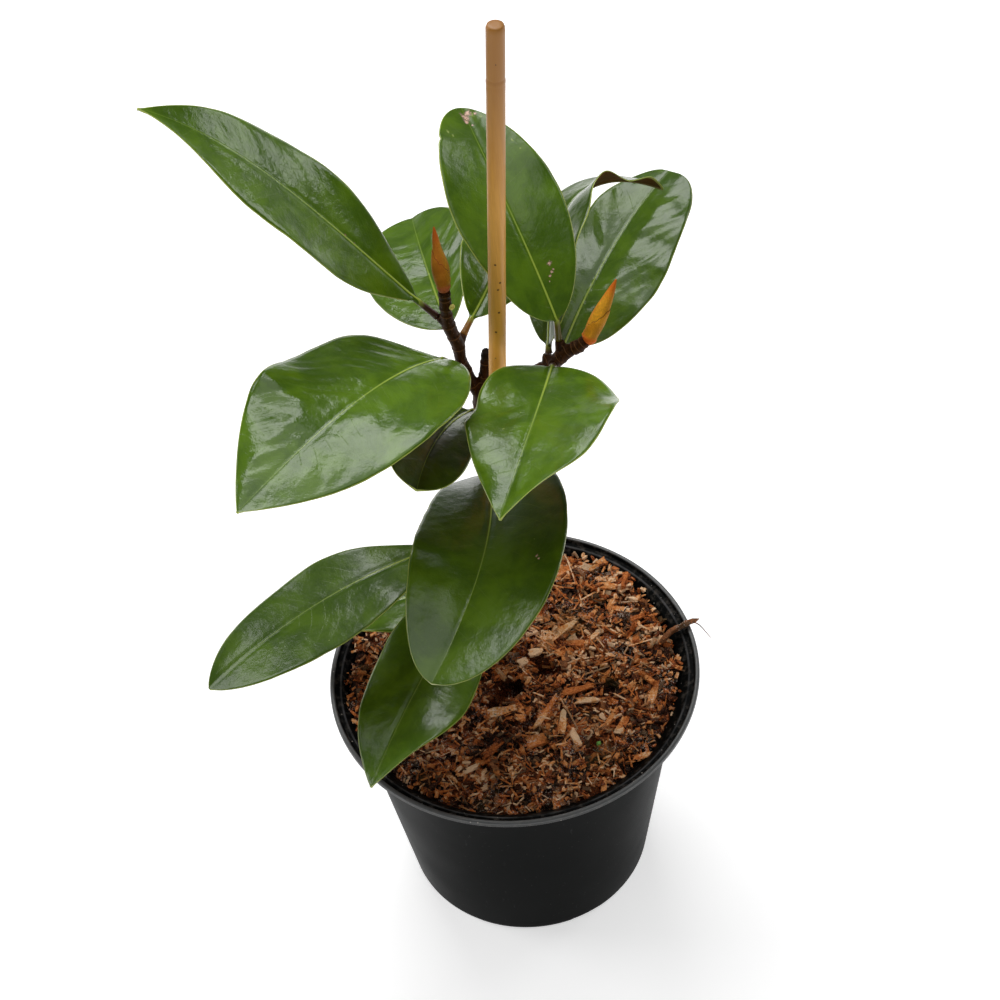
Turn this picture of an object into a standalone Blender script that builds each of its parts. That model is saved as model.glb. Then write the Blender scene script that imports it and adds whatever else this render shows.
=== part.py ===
"""A young southern magnolia in a round nursery pot, with a bamboo cane beside its trunk.

All sizes are in millimetres and are turned into metres by MM. The origin is the centre of the
pot's underside, +Z is up, and the plant's front is towards -Y.
"""

import math
import random

import bmesh
import bpy
from mathutils import Matrix, Vector, noise

MM = 0.001
GAP = 0.3  # clearance between neighbouring pieces
HOLE_GAP = 0.45  # clearance of the trunk and the cane in their holes

# The pot
RIM_R = 95.0
POT_H = 142.3
BASE_R = 64.0
WALL_TOP_R = 84.0  # outside of the wall where it begins to flare under the rim
WALL_TOP_Z = 133.0
WALL = 1.3
FLOOR_TOP = 5.0
FOOT_IN_R = 54.0
FOOT_H = 2.6
PAD_R = 14.0
POT_STEPS = 52
NOTCHES = 6
NOTCH_W = 18.0
NOTCH_AT = -66.0  # degrees, direction of the first notch
DRAIN_R = 4.0
DRAIN_RING_R = 40.0

# The bark mix
BARK_TOP = 133.0
BARK_EDGE = 127.0  # height at which its surface meets the wall
BARK_FOOT = 9.0  # height of the chamfer at its underside
BARK_RINGS = (10.0, 20.0, 30.0, 40.0, 50.0, 59.0, 68.0, 75.0)
BARK_SEGMENTS = 36
CHIPS = 62
CHIP_SEED = 11

# The trunk's foot and the cane
TRUNK_FOOT = Vector((-5.4, 34.3, 96.0))
TRUNK_R = 4.3
CANE_FOOT = Vector((-13.6, 17.9, 25.0))
CANE_TOP = Vector((18.7, 28.0, 536.0))
CANE_R = 4.1
CANE_NODES = (103.0, 305.0, 507.0)  # heights of the bamboo's nodes

# Stem runs: points with their radii, from the base outwards
TRUNK = [
    (TRUNK_FOOT, TRUNK_R),
    ((-5.4, 34.3, 142), 4.3),
    ((-6.4, 33.8, 160), 4.1),
    ((-7.0, 33.4, 178), 4.4),
    ((-6.6, 33.2, 190), 4.1),
    ((-6.8, 33.6, 205), 4.3),
    ((-5.4, 33.4, 225), 3.9),
    ((-4.2, 33.0, 250), 4.3),
    ((-3.4, 33.6, 275), 3.8),
    ((-2.8, 34.4, 300), 4.3),
    ((-2.2, 34.3, 311), 4.5),
    ((-1.2, 34.6, 318), 4.0),
]
LEFT_SHOOT = [
    ((-2.2, 34.3, 309), 3.2),
    ((-6.6, 34.3, 322), 2.9),
    ((-9.2, 34.2, 331), 3.3),
    ((-10.4, 34.3, 337), 2.8),
    ((-11.0, 34.7, 346), 3.1),
    ((-13.0, 34.8, 354), 3.1),
    ((-14.4, 34.3, 361), 3.2),
    ((-14.8, 34.3, 369), 2.7),
    ((-14.7, 34.3, 373), 3.1),
    ((-14.7, 34.3, 377), 2.7),
    ((-14.6, 34.5, 382), 3.0),
]
RIGHT_SHOOT = [
    ((-2.2, 34.3, 309), 3.2),
    ((4.5, 34.2, 315), 2.9),
    ((12.0, 33.0, 320), 2.8),
    ((22.0, 30.0, 328), 3.0),
    ((30.5, 27.6, 334), 3.4),
    ((36.8, 26.4, 341), 3.5),
    ((41.0, 25.8, 345), 3.0),
    ((44.0, 25.0, 347.0), 3.3),
    ((46.2, 24.8, 349.0), 2.9),
    ((48.2, 24.8, 351), 3.0),
]
STUB = [
    ((-1.8, 34.5, 312), 3.4),
    ((0.2, 35.2, 326), 2.7),
    ((1.9, 35.3, 340), 2.6),
]
LEFT_BUD = [
    ((-14.6, 34.55, 382.5), 2.5),
    ((-14.65, 34.7, 384.2), 3.3),
    ((-14.9, 36.2, 388), 4.0),
    ((-15.1, 38.0, 392), 4.1),
    ((-15.3, 40.2, 396), 3.6),
    ((-15.6, 43.0, 400.5), 2.7),
    ((-15.9, 46.0, 405), 1.7),
    ((-16.2, 48.4, 409), 0.6),
]
RIGHT_BUD = [
    ((48.55, 24.8, 351.35), 2.5),
    ((49.7, 24.9, 352.6), 3.3),
    ((51.8, 26.2, 356.6), 4.2),
    ((54.0, 28.0, 360), 4.5),
    ((56.6, 30.2, 363.8), 4.1),
    ((59.4, 32.8, 367.8), 3.2),
    ((62.0, 35.4, 371.6), 2.0),
    ((64.4, 37.8, 375.4), 0.6),
]

# The leaves. at: the point on the stem's axis that the leaf stalk grows from. heading: 0 is
# towards +X and 90 towards +Y. rise: slope of the blade at its base, which droop changes
# evenly to the tip and curl changes mostly near the tip; sweep changes the heading. roll turns
# the blade about its midrib and twist adds to it along the blade. kink: how much steeper the
# stalk rises. stalk, length and width are in mm, angles in degrees. base and tip: how slowly
# the blade widens from its ends. fold: how far each half is raised from flat. lopsided: share
# by which the right half is wider. wave_left, wave_right: height of each margin's waves in mm,
# waves: how many. seat: from the stem's axis to the flat seat of the stalk. tip_from: where a
# turned tip begins.
LEAF_DEFAULTS = {
    "curl": 0, "sweep": 0, "roll": 0, "twist": 0, "kink": 10, "base": 0.75, "tip": 0.75,
    "fold": 9, "lopsided": 0.0, "wave_left": 0.5, "wave_right": 0.5, "waves": 2.0, "phase": 0,
    "seat": 5.4, "tip_from": 0.7, "tip_heading": 0, "tip_rise": 0, "tip_roll": 0,
}
LEAVES = {
    "leaf_top_left": {
        "at": (-14.3, 34.3, 361), "seat": 6, "heading": 164, "rise": 50, "droop": 10, "curl": -31,
        "sweep": 20, "roll": 9, "twist": -4, "stalk": 17, "kink": -5, "length": 166,
        "width": 53, "base": 1.0, "tip": 1.06, "fold": 5, "lopsided": -0.07,
        "wave_left": 1.9, "wave_right": -1.7, "phase": 23,
    },
    "leaf_back_left": {
        "at": (-13.2, 35.0, 354), "heading": 101, "rise": 0, "droop": -30, "sweep": -8,
        "roll": 25, "twist": -6, "stalk": 10, "kink": -28, "length": 118, "width": 56,
        "base": 0.6, "tip": 0.62, "fold": 12, "lopsided": -0.1,
    },
    "leaf_back": {
        "at": (-11.0, 35.0, 346), "heading": 56, "rise": 16, "droop": -50, "sweep": 42,
        "roll": -20, "stalk": 14, "kink": 7, "length": 74, "width": 39, "base": 0.84,
        "tip": 0.72, "fold": 12,
    },
    "leaf_upright": {
        "at": (36.5, 27.7, 340), "seat": 9, "heading": 119, "rise": 57, "droop": -51, "sweep": -14,
        "roll": 2, "twist": -23, "stalk": 21, "kink": 29, "length": 115, "width": 56,
        "base": 0.65, "tip": 0.61, "fold": 9, "lopsided": -0.05, "wave_left": -1.9,
        "wave_right": -0.1, "waves": 1.75, "phase": 7,
    },
    "leaf_right": {
        "at": (34.4, 27.0, 338.4), "heading": 63, "rise": 17.5, "droop": 3, "curl": -15.5,
        "sweep": -17.5, "roll": -5, "twist": 18.5, "stalk": 9.4, "kink": -12, "length": 106,
        "width": 55, "base": 0.43, "tip": 0.4, "fold": 6, "lopsided": 0.21, "wave_left": -2.4,
        "wave_right": 1.6, "phase": -17,
    },
    "leaf_curled_tip": {
        "at": (29.6, 28.0, 334.2), "heading": 80, "rise": 51.5, "droop": -75, "sweep": -14,
        "roll": 44, "twist": -9, "stalk": 8.8, "kink": 8, "length": 124.5, "width": 41.5,
        "base": 0.66, "tip": 0.75, "fold": 8, "wave_right": -1.9, "waves": 3, "phase": -93,
        "tip_from": 0.4, "tip_heading": -79, "tip_rise": -1, "tip_roll": 4.5,
    },
    "leaf_middle_left": {
        "at": (-9.0, 34.2, 331), "seat": 7.5, "heading": -126, "rise": 38, "droop": -63, "curl": 15,
        "sweep": -10, "roll": -7, "twist": 20, "stalk": 27, "kink": 15, "length": 148,
        "width": 85, "base": 0.74, "tip": 0.94, "fold": 5, "wave_left": 1.5,
        "wave_right": 4.7, "waves": 1.9, "phase": -3,
    },
    "leaf_front_right": {
        "at": (33.0, 27.0, 336.5), "heading": -101, "rise": 24, "droop": -26, "curl": -13,
        "sweep": -11, "roll": 8, "twist": -29, "stalk": 11, "kink": 12, "length": 112,
        "width": 68, "base": 0.73, "tip": 0.98, "fold": 8, "lopsided": -0.12,
        "wave_left": 2.9, "wave_right": 2.7, "waves": 2.28, "phase": -46,
    },
    "leaf_hanging": {
        "at": (-3.0, 34.4, 300), "seat": 8.5, "heading": -118, "rise": 37, "droop": -27, "sweep": 18,
        "roll": 9, "twist": 11, "stalk": 14, "kink": 13, "length": 95, "width": 38,
        "base": 0.85, "tip": 0.39, "fold": 12,
    },
    "leaf_front": {
        "at": (-6.6, 32.6, 250), "seat": 9.5, "heading": -82, "rise": 35, "droop": -52, "curl": 3,
        "sweep": -40, "roll": -13, "twist": 22, "stalk": 30, "kink": 23, "length": 158,
        "width": 72, "base": 0.56, "tip": 0.52, "fold": 16, "lopsided": -0.1,
        "wave_left": 0.4, "wave_right": 1.5, "waves": 1.9, "phase": -6,
    },
    "leaf_low_left": {
        "at": (-7.0, 33.6, 205), "heading": -158, "rise": 9, "droop": -32, "curl": 3,
        "sweep": 12, "roll": -3, "stalk": 25, "kink": 19, "length": 140, "width": 54,
        "base": 0.93, "tip": 0.78, "fold": 5, "lopsided": -0.18, "wave_left": -0.6,
        "wave_right": -2.2, "waves": 1.73, "phase": 49,
    },
    "leaf_low_behind": {
        "at": (-7.0, 33.6, 178), "seat": 6, "heading": -174, "rise": -7, "droop": -5, "curl": 3,
        "sweep": -3, "roll": 1, "twist": -7, "stalk": 11, "kink": 14, "length": 94, "width": 45,
        "base": 0.68, "tip": 0.82, "fold": 10, "wave_left": -2.8, "wave_right": 0, "waves": 2.2,
        "phase": 15,
    },
    "leaf_low_front": {
        "at": (-6.4, 33.0, 187), "heading": -124, "rise": -7, "droop": -8, "curl": -3,
        "sweep": 6, "roll": 4, "twist": -21, "stalk": 17, "kink": 11, "length": 118,
        "width": 58, "base": 0.7, "tip": 0.86, "fold": 6, "lopsided": -0.06,
        "wave_left": -4.8, "wave_right": 2.9, "waves": 1.66, "phase": -15,
    },
}
STALK_R = 1.5
BLADE = 0.8  # thickness of a blade away from its midrib
BLADE_STATIONS = (
    0.0, 0.03, 0.08, 0.15, 0.23, 0.32, 0.41, 0.5, 0.59, 0.68, 0.77, 0.86, 0.93, 0.98, 1.0,
)
ACROSS = (-1.0, -0.66, -0.32, 0.0, 0.32, 0.66, 1.0)


def ease(value, start, end):
    """Smooth step from 0 at start to 1 at end."""
    t = min(max((value - start) / (end - start), 0.0), 1.0)
    return t * t * (3.0 - 2.0 * t)


def clear_scene():
    for obj in list(bpy.data.objects):
        bpy.data.objects.remove(obj, do_unlink=True)


def new_collection(name, parent=None):
    collection = bpy.data.collections.new(name)
    (parent or bpy.context.scene.collection).children.link(collection)
    return collection


def finish_material(obj, colour, roughness):
    material = bpy.data.materials.new(obj.name)
    material.use_nodes = True
    shader = material.node_tree.nodes["Principled BSDF"]
    shader.inputs["Base Color"].default_value = (*colour, 1.0)
    shader.inputs["Roughness"].default_value = roughness
    shader.inputs["Metallic"].default_value = 0.0
    obj.data.materials.clear()
    obj.data.materials.append(material)


def shade(obj, degrees=40):
    obj.data.shade_smooth()
    obj.data.set_sharp_from_angle(angle=math.radians(degrees))


def object_from(bm, name, collection):
    mesh = bpy.data.meshes.new(name)
    bm.to_mesh(mesh)
    bm.free()
    obj = bpy.data.objects.new(name, mesh)
    collection.objects.link(obj)
    return obj


def evaluated_mesh(obj):
    """The object's mesh as its modifiers or its bevel make it, with the caps welded."""
    bpy.context.view_layer.update()
    graph = bpy.context.evaluated_depsgraph_get()
    mesh = bpy.data.meshes.new_from_object(obj.evaluated_get(graph))
    bm = bmesh.new()
    bm.from_mesh(mesh)
    bmesh.ops.remove_doubles(bm, verts=bm.verts, dist=0.00001)
    bmesh.ops.recalc_face_normals(bm, faces=bm.faces)
    bm.to_mesh(mesh)
    bm.free()
    return mesh


def apply_modifiers(obj):
    mesh = evaluated_mesh(obj)
    obj.modifiers.clear()
    obj.data = mesh


def tube(name, run, collection, resolution=3):
    """A closed round bar through (point, radius) pairs; it has 4 + 2 * resolution sides."""
    curve = bpy.data.curves.new(name, "CURVE")
    curve.dimensions = "3D"
    curve.bevel_depth = MM
    curve.bevel_resolution = resolution
    curve.use_fill_caps = True
    curve.twist_mode = "MINIMUM"
    spline = curve.splines.new("POLY")
    spline.points.add(len(run) - 1)
    for point, (place, radius) in zip(spline.points, run):
        point.co = (*(Vector(place) * MM), 1.0)
        point.radius = radius
    guide = bpy.data.objects.new(name + "_curve", curve)
    collection.objects.link(guide)
    mesh = evaluated_mesh(guide)
    bpy.data.objects.remove(guide, do_unlink=True)
    mesh.name = name
    obj = bpy.data.objects.new(name, mesh)
    collection.objects.link(obj)
    return obj


def join_all(obj, others, operation):
    """Applies one Boolean of a whole collection to obj, then removes the collection."""
    modifier = obj.modifiers.new(operation.lower(), "BOOLEAN")
    modifier.operation = operation
    modifier.operand_type = "COLLECTION"
    modifier.collection = others
    modifier.solver = "EXACT"
    apply_modifiers(obj)
    for other in list(others.objects):
        bpy.data.objects.remove(other, do_unlink=True)
    bpy.data.collections.remove(others)


def hide_helpers(collection):
    for obj in collection.objects:
        obj.hide_render = True
        obj.display_type = "WIRE"


def wall_r(z):
    """Outer radius of the pot's straight wall at height z."""
    return BASE_R + (WALL_TOP_R - BASE_R) * z / WALL_TOP_Z


def make_pot(parts, cutters):
    inside_top = wall_r(WALL_TOP_Z) - WALL
    profile = [
        (0.0, FLOOR_TOP),
        (wall_r(FLOOR_TOP) - WALL - 3.0, FLOOR_TOP),
        (wall_r(FLOOR_TOP + 3.0) - WALL, FLOOR_TOP + 3.0),
        (wall_r(70.0) - WALL, 70.0),
        (inside_top, WALL_TOP_Z),
        (86.0, 137.0),
        (88.6, 139.4),
        (89.4, 140.1),
        (92.2, 140.2),
        (92.5, 141.7),
        (93.2, POT_H),
        (94.4, POT_H),
        (RIM_R, POT_H - 0.7),
        (RIM_R, POT_H - 2.7),
        (94.4, POT_H - 3.3),
        (91.0, POT_H - 3.4),
        (87.6, 137.4),
        (WALL_TOP_R, WALL_TOP_Z),
        (wall_r(70.0), 70.0),
        (wall_r(3.0), 3.0),
        (BASE_R - 0.6, 0.6),
        (BASE_R - 1.4, 0.0),
        (FOOT_IN_R, 0.0),
        (FOOT_IN_R - 0.8, FOOT_H),
        (PAD_R + 1.5, FOOT_H),
        (PAD_R, 0.0),
        (0.0, 0.0),
    ]
    bm = bmesh.new()
    corners = [bm.verts.new((r * MM, 0.0, z * MM)) for r, z in profile]
    for first, second in zip(corners, corners[1:]):
        bm.edges.new((first, second))
    pot = object_from(bm, "pot", parts)
    turn = pot.modifiers.new("turn", "SCREW")
    turn.steps = POT_STEPS
    turn.render_steps = POT_STEPS
    turn.use_merge_vertices = True
    turn.merge_threshold = 0.00005
    apply_modifiers(pot)
    # Notches that let water out under the foot, and round drain holes in the floor
    tools = new_collection("drain_cutters", cutters)
    for i in range(NOTCHES):
        angle = math.radians(NOTCH_AT + 360.0 / NOTCHES * i)
        bm = bmesh.new()
        bmesh.ops.create_cube(bm, size=1.0)
        bmesh.ops.scale(bm, verts=bm.verts, vec=(24 * MM, NOTCH_W * MM, 6 * MM))
        bmesh.ops.translate(bm, verts=bm.verts, vec=(60 * MM, 0, (FOOT_H - 3.6) * MM))
        bmesh.ops.rotate(bm, verts=bm.verts, cent=(0, 0, 0), matrix=Matrix.Rotation(angle, 3, "Z"))
        object_from(bm, f"notch_{i}", tools)
        angle += math.radians(180.0 / NOTCHES)
        bm = bmesh.new()
        bmesh.ops.create_cone(
            bm, cap_ends=True, segments=16, radius1=DRAIN_R * MM, radius2=DRAIN_R * MM,
            depth=12 * MM,
        )
        centre = (DRAIN_RING_R * math.cos(angle) * MM, DRAIN_RING_R * math.sin(angle) * MM, 4 * MM)
        bmesh.ops.translate(bm, verts=bm.verts, vec=centre)
        object_from(bm, f"drain_{i}", tools)
    hide_helpers(tools)
    join_all(pot, tools, "DIFFERENCE")
    shade(pot)
    finish_material(pot, (0.012, 0.013, 0.015), 0.42)
    return pot


def bark_height(x, y):
    """Top of the bark mix, in mm: uneven, lower at the wall, with one dark pit."""
    place = Vector((x, y, 0.0))
    r = place.length
    height = BARK_TOP + 3.0 * noise.noise(place * 0.045) + 1.8 * noise.noise(place * 0.12)
    height += 2.0 * ease(x, 20.0, 70.0) * ease(y, -40.0, 10.0)
    height -= 4.0 * ease(r, 62.0, 81.0)
    pit = (place - Vector((16.0, 10.0, 0.0))).length
    height -= 9.0 * (1.0 - ease(pit, 2.0, 9.0))
    return height


def chip(name, rng, x, y, size, yaw, pitch, collection, sink=0.45):
    """A flake of bark: a thin block, narrower at one end, sunk into the surface."""
    length, width, thick = size
    bm = bmesh.new()
    bmesh.ops.create_cube(bm, size=1.0)
    for vert in bm.verts:
        if vert.co.x > 0:
            vert.co.y *= rng.uniform(0.3, 0.8)
            vert.co.z *= 0.6
        vert.co.x += rng.uniform(-0.08, 0.08)
    bmesh.ops.scale(bm, verts=bm.verts, vec=(length * MM, width * MM, thick * MM))
    spin = Matrix.Rotation(yaw, 3, "Z") @ Matrix.Rotation(pitch, 3, "Y")
    spin = spin @ Matrix.Rotation(rng.uniform(-0.35, 0.35), 3, "X")
    bmesh.ops.rotate(bm, verts=bm.verts, cent=(0, 0, 0), matrix=spin)
    height = bark_height(x, y) + thick * (0.5 - sink)
    bmesh.ops.translate(bm, verts=bm.verts, vec=(x * MM, y * MM, height * MM))
    return object_from(bm, name, collection)


def make_bark(parts, cutters):
    # The pot's inside is a polygon, so the gap is measured from the middle of its facets
    facet = math.cos(math.pi / POT_STEPS)
    top_r = (wall_r(BARK_EDGE) - WALL) * facet - GAP
    low_r = (wall_r(BARK_FOOT) - WALL) * facet - GAP
    bm = bmesh.new()
    rings = []
    for r in (*BARK_RINGS, top_r):
        ring = []
        for i in range(BARK_SEGMENTS):
            angle = 2 * math.pi * i / BARK_SEGMENTS
            x = r * math.cos(angle)
            y = r * math.sin(angle)
            height = bark_height(x, y) if r < top_r else BARK_EDGE
            ring.append(bm.verts.new((x * MM, y * MM, height * MM)))
        rings.append(ring)
    for r, z in ((low_r, BARK_FOOT), (low_r - 4.0, FLOOR_TOP + GAP)):
        ring = []
        for i in range(BARK_SEGMENTS):
            angle = 2 * math.pi * i / BARK_SEGMENTS
            ring.append(bm.verts.new((r * math.cos(angle) * MM, r * math.sin(angle) * MM, z * MM)))
        rings.append(ring)
    centre = bm.verts.new((0, 0, bark_height(0, 0) * MM))
    for i in range(BARK_SEGMENTS):
        bm.faces.new((centre, rings[0][i], rings[0][(i + 1) % BARK_SEGMENTS]))
    for inner, outer in zip(rings, rings[1:]):
        for i in range(BARK_SEGMENTS):
            j = (i + 1) % BARK_SEGMENTS
            bm.faces.new((inner[i], outer[i], outer[j], inner[j]))
    bm.faces.new(list(reversed(rings[-1])))
    bmesh.ops.recalc_face_normals(bm, faces=bm.faces)
    bmesh.ops.triangulate(bm, faces=bm.faces)
    bark = object_from(bm, "bark_mix", parts)

    rng = random.Random(CHIP_SEED)
    flakes = new_collection("flakes", cutters)
    for i in range(CHIPS):
        r = 74.0 * math.sqrt((i + 0.5) / CHIPS)
        angle = i * 2.39996 + rng.uniform(-0.3, 0.3)
        size = (rng.uniform(8, 20), rng.uniform(3.0, 6.5), rng.uniform(2.0, 3.4))
        reach = min(r, 80.0 - size[0] / 2)
        chip(
            f"flake_{i}", rng, reach * math.cos(angle), reach * math.sin(angle), size,
            rng.uniform(0, 2 * math.pi), rng.uniform(-0.3, 0.3), flakes,
        )
    chip("big_flake", rng, 25, 27, (24, 6, 3.0), 0.55, -0.12, flakes, 0.3)
    chip("pale_flake", rng, -6, -17, (17, 6, 3.0), 0.0, 0.05, flakes, 0.3)
    # A splinter that lies across the rim
    over_rim = [
        ((72, 13, 131), 1.6), ((84, 16.4, 141.6), 1.6), ((89, 18, 144.4), 1.5),
        ((94, 19.2, 145.3), 1.4), ((98, 21, 144.8), 0.9),
    ]
    tube("splinter", over_rim, flakes, 1)
    hide_helpers(flakes)
    join_all(bark, flakes, "UNION")

    # Plain holes for the trunk and the cane, a little wider and deeper than both
    tools = new_collection("hole_cutters", cutters)
    lean = (CANE_TOP - CANE_FOOT).normalized()
    holes = (
        ("trunk_hole", TRUNK_FOOT - Vector((0, 0, HOLE_GAP)), Vector((0, 0, 1)), TRUNK_R + HOLE_GAP),
        ("cane_hole", CANE_FOOT - lean * HOLE_GAP, lean, CANE_R + HOLE_GAP),
    )
    for name, foot, axis, radius in holes:
        depth = (160.0 - foot.z) / axis.z
        bm = bmesh.new()
        bmesh.ops.create_cone(
            bm, cap_ends=True, segments=20, radius1=radius * MM, radius2=radius * MM,
            depth=depth * MM,
        )
        turn = axis.to_track_quat("Z", "Y").to_matrix()
        bmesh.ops.rotate(bm, verts=bm.verts, cent=(0, 0, 0), matrix=turn)
        bmesh.ops.translate(bm, verts=bm.verts, vec=(foot + axis * depth / 2) * MM)
        object_from(bm, name, tools)
    hide_helpers(tools)
    join_all(bark, tools, "DIFFERENCE")
    keep_largest_body(bark)
    shade(bark, 30)
    finish_material(bark, (0.16, 0.075, 0.04), 0.9)
    return bark


def keep_largest_body(obj):
    """Drops loose scraps that a cut may leave."""
    bm = bmesh.new()
    bm.from_mesh(obj.data)
    bm.verts.ensure_lookup_table()
    seen = set()
    groups = []
    for vert in bm.verts:
        if vert.index in seen:
            continue
        stack = [vert]
        group = []
        seen.add(vert.index)
        while stack:
            here = stack.pop()
            group.append(here)
            for edge in here.link_edges:
                other = edge.other_vert(here)
                if other.index not in seen:
                    seen.add(other.index)
                    stack.append(other)
        groups.append(group)
    groups.sort(key=len, reverse=True)
    scraps = [vert for group in groups[1:] for vert in group]
    if scraps:
        bmesh.ops.delete(bm, geom=scraps, context="VERTS")
    bm.to_mesh(obj.data)
    bm.free()


def make_cane(parts):
    lean = (CANE_TOP - CANE_FOOT).normalized()
    heights = [CANE_FOOT.z]
    for node in CANE_NODES:
        heights += [node - 4.0, node - 1.2, node, node + 1.4, node + 4.0]
    heights.append(CANE_TOP.z)
    run = []
    for z in heights:
        place = CANE_FOOT + lean * ((z - CANE_FOOT.z) / lean.z)
        radius = CANE_R - 0.25 * (z - CANE_FOOT.z) / (CANE_TOP.z - CANE_FOOT.z)
        if any(abs(z - node) < 1.3 for node in CANE_NODES[1:]):
            radius += 0.35
        run.append((place, radius))
    cane = tube("cane", run, parts, 4)
    shade(cane)
    finish_material(cane, (0.42, 0.24, 0.10), 0.55)
    return cane


def stalk_direction(leaf):
    heading = math.radians(leaf["heading"])
    rise = math.radians(leaf["rise"] + leaf["kink"])
    return Vector((
        math.cos(rise) * math.cos(heading), math.cos(rise) * math.sin(heading), math.sin(rise),
    ))


def blade_axes(leaf, s):
    """Along, across and face directions of the blade at s, from 0 at its base to 1 at its tip."""
    turn = ease(s, leaf["tip_from"], 1.0)
    heading = math.radians(leaf["heading"] + leaf["sweep"] * s + leaf["tip_heading"] * turn)
    rise = math.radians(
        leaf["rise"] + leaf["droop"] * s + leaf["curl"] * s ** 3 + leaf["tip_rise"] * turn
    )
    roll = math.radians(leaf["roll"] + leaf["twist"] * s + leaf["tip_roll"] * turn)
    along = Vector((
        math.cos(rise) * math.cos(heading), math.cos(rise) * math.sin(heading), math.sin(rise),
    ))
    level = Vector((math.sin(heading), -math.cos(heading), 0.0))
    up = level.cross(along)
    across = math.cos(roll) * level + math.sin(roll) * up
    face = math.cos(roll) * up - math.sin(roll) * level
    return along, across, face


def midrib_point(leaf, s, steps=60):
    """The midrib is the sum of short steps along the blade's direction."""
    place = Vector(leaf["at"]) + stalk_direction(leaf) * leaf["stalk"]
    count = max(1, round(steps * s))
    for i in range(count if s > 0 else 0):
        along = blade_axes(leaf, s * (i + 0.5) / count)[0]
        place += along * (leaf["length"] * s / count)
    return place


def half_width(leaf, s):
    a = leaf["base"]
    b = leaf["tip"]
    widest = a / (a + b)
    peak = widest ** a * (1.0 - widest) ** b
    return leaf["width"] / 2.0 * s ** a * (1.0 - s) ** b / peak


def leaf_ring(leaf, s, place, along, across, face, stalk_r):
    """One closed section: the upper side from left to right, then the lower side back."""
    wide = half_width(leaf, s)
    flat = ease(wide, 0.6, 5.0)
    fold = math.radians(leaf["fold"])
    rib_r = stalk_r * (1.0 - 0.72 * s)
    swell = math.sqrt(max(4.0 * s * (1.0 - s), 0.0))
    upper = []
    lower = []
    for u in ACROSS:
        side = 1.0 if u > 0 else -1.0
        share = 1.0 + leaf["lopsided"] * side
        reach = max(wide * share, 0.5) * abs(u)
        height_of_wave = leaf["wave_right"] if u > 0 else leaf["wave_left"]
        phase = math.radians(leaf["phase"]) + (0.0 if u > 0 else 2.0)
        wave = height_of_wave * u * u * swell * math.sin(2 * math.pi * leaf["waves"] * s + phase)
        x = side * reach * math.cos(fold) if u else 0.0
        top = reach * math.sin(fold) + wave
        rib = rib_r * 1.3 * (1.0 - ease(reach, 0.0, 2.6))
        bottom = top - BLADE - rib
        turn = math.radians(77.0 * u)
        round_x = rib_r * math.sin(turn)
        round_top = -0.5 * rib_r + rib_r * math.cos(turn)
        round_bottom = -0.5 * rib_r - rib_r * math.cos(turn)
        x_here = (1.0 - flat) * round_x + flat * x
        top_here = (1.0 - flat) * round_top + flat * top
        bottom_here = (1.0 - flat) * round_bottom + flat * bottom
        upper.append(place + across * x_here + face * top_here)
        lower.append(place + across * x_here + face * bottom_here)
    return upper + lower[::-1]


def make_leaf(name, spec, parts):
    leaf = {**LEAF_DEFAULTS, **spec}
    start = Vector(leaf["at"])
    stalk = stalk_direction(leaf)
    along, across, face = blade_axes(leaf, 0.0)
    side = across - stalk * across.dot(stalk)
    side.normalize()
    up = side.cross(stalk)
    rings = []
    free = leaf["stalk"] - leaf["seat"] - GAP
    for share, radius in ((0.0, 1.9), (0.3, 1.65), (0.7, 1.5)):
        place = start + stalk * (leaf["seat"] + GAP + free * share)
        rings.append(leaf_ring(leaf, 0.0, place, stalk, side, up, radius))
    for s in BLADE_STATIONS:
        along, across, face = blade_axes(leaf, s)
        rings.append(leaf_ring(leaf, s, midrib_point(leaf, s), along, across, face, STALK_R))
    bm = bmesh.new()
    corners = [[bm.verts.new(point * MM) for point in ring] for ring in rings]
    count = len(ACROSS)
    total = 2 * count
    for near, far in zip(corners, corners[1:]):
        for j in range(count - 1):
            # The upper and lower faces are split along the same diagonal
            bm.faces.new((near[j], near[j + 1], far[j + 1]))
            bm.faces.new((near[j], far[j + 1], far[j]))
            k = total - 1 - j
            bm.faces.new((near[k], far[k - 1], near[k - 1]))
            bm.faces.new((near[k], far[k], far[k - 1]))
        for j, k in ((count - 1, count), (total - 1, 0)):
            bm.faces.new((near[j], near[k], far[k]))
            bm.faces.new((near[j], far[k], far[j]))
    bm.faces.new(list(reversed(corners[0])))
    bm.faces.new(corners[-1])
    bmesh.ops.recalc_face_normals(bm, faces=bm.faces)
    obj = object_from(bm, name, parts)
    shade(obj, 60)
    finish_material(obj, (0.03, 0.085, 0.02), 0.28)
    return obj


def make_stem(parts, cutters):
    stem = tube("stem", TRUNK, parts, 3)
    branches = new_collection("branches", cutters)
    tube("left_shoot", LEFT_SHOOT, branches, 3)
    tube("right_shoot", RIGHT_SHOOT, branches, 3)
    tube("cut_leader", STUB, branches, 2)
    for name, spec in LEAVES.items():
        leaf = {**LEAF_DEFAULTS, **spec}
        start = Vector(leaf["at"])
        stalk = stalk_direction(leaf)
        seat = leaf["seat"]
        cushion = [(start, 2.6), (start + stalk * (seat - 1.6), 2.4), (start + stalk * seat, 2.0)]
        tube("cushion_" + name, cushion, branches, 2)
    # A short broken side twig low on the trunk
    tube("broken_twig", [((-5.6, 33.4, 228), 1.6), ((-25, 28, 232), 1.3), ((-31, 27, 235), 1.0)],
         branches, 1)
    hide_helpers(branches)
    join_all(stem, branches, "UNION")
    shade(stem)
    finish_material(stem, (0.055, 0.032, 0.02), 0.6)
    return stem


def make_bud(name, run, parts):
    bud = tube(name, run, parts, 3)
    shade(bud)
    finish_material(bud, (0.36, 0.15, 0.05), 0.7)
    return bud


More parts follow.
